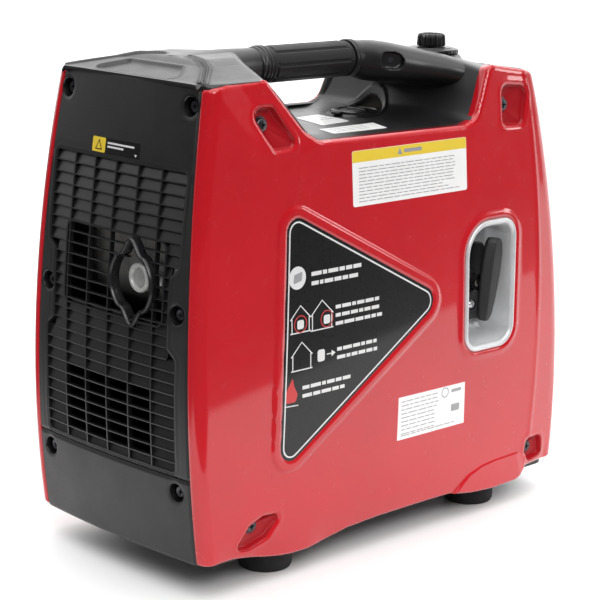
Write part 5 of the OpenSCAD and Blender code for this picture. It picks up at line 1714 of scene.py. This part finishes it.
# ---------------------------------------------------------------- base and feet
def base():
    obs = []
    for x in (-127, 155):
        for s in (-1, 1):
            obs.append(lathe("foot", [(9, 12), (9, 1.2), (9.8, 0.2), (22.4, 0.2), (23.8, 0.9), (24.8, 3), (25, 8), (25, 20), (23.6, 24.5), (23.4, 28.8), (0, 28.8), (0, 12)], "z", (x, s * 80, 0), FOOT, 72))
            obs.append(lathe("foot_screw", [(0, 0), (4.6, 0.6), (5.4, 2), (5.4, 3.2), (0, 3.2)], "z", (x, s * 80, 8.6), SCREW, 28))
    finish_piece(join("rubber_feet_piece", obs), "chassis", ["rubber_feet"])


base()

# ---------------------------------------------------------------- carried CAD nodes
FINISH = {
    "base_tray": BLACK, "starter_rope": ROPE, "starter_pulley": TRIM, "starter_spring": STEEL, "starter_housing": TRIM, "fuel_tank": TANK, "fuel_hose": FOOT,
    "crankcase": ALLOY, "cylinder_barrel": ALLOY, "cylinder_head": ALLOY, "valve_cover": ALLOY, "piston": ALLOY, "connecting_rod": IRON, "crankshaft": IRON,
    "spark_plug": CERAMIC, "plug_cap": FOOT, "carburettor": ALLOY, "air_filter": TRIM, "heat_shield": STEEL, "rotor": IRON, "stator": COPPER,
    "engine_mounts": FOOT, "inverter_module": ALLOY, "oil_dipstick": YPLAST,
}
for n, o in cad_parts.items():
    if o.hide_render:
        continue
    m = FINISH[n]
    o.data.materials.clear()
    o.data.materials.append(m)
    bv = o.modifiers.new("edge", "BEVEL")
    bv.width = 0.35 * MM
    bv.segments = 2
    bv.limit_method = "ANGLE"
    bv.angle_limit = math.radians(40)

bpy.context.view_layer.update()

# ---------------------------------------------------------------- floor, light, camera
fl = make("floor", [(-9500, -9500, 0), (9500, -9500, 0), (9500, 9500, 0), (-9500, 9500, 0)], [(0, 1, 2, 3)], None, shade=False)
m, nt, b = nodes_of("floor_pale")
co = nt.nodes.new("ShaderNodeTexCoord")


def side_of(nx, ny, c, lo, hi):
    """Soft step across a line on the floor."""
    d = nt.nodes.new("ShaderNodeVectorMath")
    d.operation = "DOT_PRODUCT"
    d.inputs[1].default_value = (nx, ny, 0)
    nt.links.new(co.outputs["Object"], d.inputs[0])
    r = nt.nodes.new("ShaderNodeMapRange")
    r.interpolation_type = "SMOOTHSTEP"
    r.inputs["From Min"].default_value = lo - c
    r.inputs["From Max"].default_value = hi - c
    nt.links.new(d.outputs["Value"], r.inputs["Value"])
    return r


near = side_of(0.330, 0.944, 0.494, -0.035, 0.0)
left = side_of(0.816, -0.578, 0.384, -0.34, -0.10)
mu = nt.nodes.new("ShaderNodeMath")
mu.operation = "MULTIPLY"
nt.links.new(near.outputs["Result"], mu.inputs[0])
nt.links.new(left.outputs["Result"], mu.inputs[1])
mx = nt.nodes.new("ShaderNodeMix")
mx.data_type = "RGBA"
nt.links.new(mu.outputs["Value"], mx.inputs["Factor"])
mx.inputs["A"].default_value = (0.085, 0.085, 0.087, 1)
mx.inputs["B"].default_value = (0.92, 0.92, 0.92, 1)
nt.links.new(mx.outputs["Result"], b.inputs["Base Color"])
b.inputs["Roughness"].default_value = 0.6
b.inputs["Specular IOR Level"].default_value = 0.2
fl.data.materials.append(m)

# soft studio: dim all round, bright behind and above
w = bpy.data.worlds.new("studio")
bpy.context.scene.world = w
w.use_nodes = True
nt = w.node_tree
bg = nt.nodes["Background"]
tc = nt.nodes.new("ShaderNodeTexCoord")
dp = nt.nodes.new("ShaderNodeVectorMath")
dp.operation = "DOT_PRODUCT"
dp.inputs[1].default_value = (0.55, 0.60, 0.58)
link(nt, tc, "Generated", dp, 0)
mr = nt.nodes.new("ShaderNodeMapRange")
mr.interpolation_type = "SMOOTHSTEP"
mr.inputs["From Min"].default_value = 0.05
mr.inputs["From Max"].default_value = 0.95
mr.inputs["To Min"].default_value = 0.10
mr.inputs["To Max"].default_value = 1.9
nt.links.new(dp.outputs["Value"], mr.inputs["Value"])
nt.links.new(mr.outputs["Result"], bg.inputs["Strength"])
bg.inputs["Color"].default_value = (1, 1, 1, 1)


def area(name, loc, target, size, power, sy=None):
    L = bpy.data.lights.new(name, "AREA")
    L.energy = power
    L.size = size
    if sy:
        L.shape = "RECTANGLE"
        L.size_y = sy
    o = bpy.data.objects.new(name, L)
    bpy.context.scene.collection.objects.link(o)
    o.location = loc
    d = Vector(target) - Vector(loc)
    o.rotation_euler = d.to_track_quat("-Z", "Y").to_euler()
    return o


L = bpy.data.lights.new("sky", "SUN")
L.energy = 2.3
L.angle = math.radians(70)
o = bpy.data.objects.new("sky", L)
bpy.context.scene.collection.objects.link(o)
o.rotation_euler = Vector((0.25, 0.45, -1.0)).to_track_quat("-Z", "Y").to_euler()
area("key", (-1.3, -2.3, 1.9), (0, 0, 0.25), 0.9, 20)
area("rear_strip", (-2.1, 2.1, 1.7), (-0.2, 0, 0.25), 1.1, 3, 0.6)
area("front_strip", (2.45, -1.75, 0.86), (0.2, 0, 0.4), 0.42, 7, 0.9)

cam = bpy.data.cameras.new("camera")
co = bpy.data.objects.new("camera", cam)
bpy.context.scene.collection.objects.link(co)
az, el, roll = math.radians(-44.3), math.radians(13.2), math.radians(1.23)
back = Vector((math.sin(az) * math.cos(el), -math.cos(az) * math.cos(el), math.sin(el)))
right0 = Vector((math.cos(az), math.sin(az), 0))
up0 = back.cross(right0)
r2 = math.cos(roll) * right0 + math.sin(roll) * up0
u2 = -math.sin(roll) * right0 + math.cos(roll) * up0
M = Matrix((r2, u2, back)).transposed().to_4x4()
M.translation = Vector((-22.44 * MM, -11.89 * MM, 220 * MM)) + back * 1.8
co.matrix_world = M
cam.sensor_width = 36
cam.lens = 113.4
bpy.context.scene.camera = co
sc = bpy.context.scene
sc.render.resolution_x = 1000
sc.render.resolution_y = 1000
sc.view_settings.view_transform = "Standard"
sc.view_settings.look = "None"
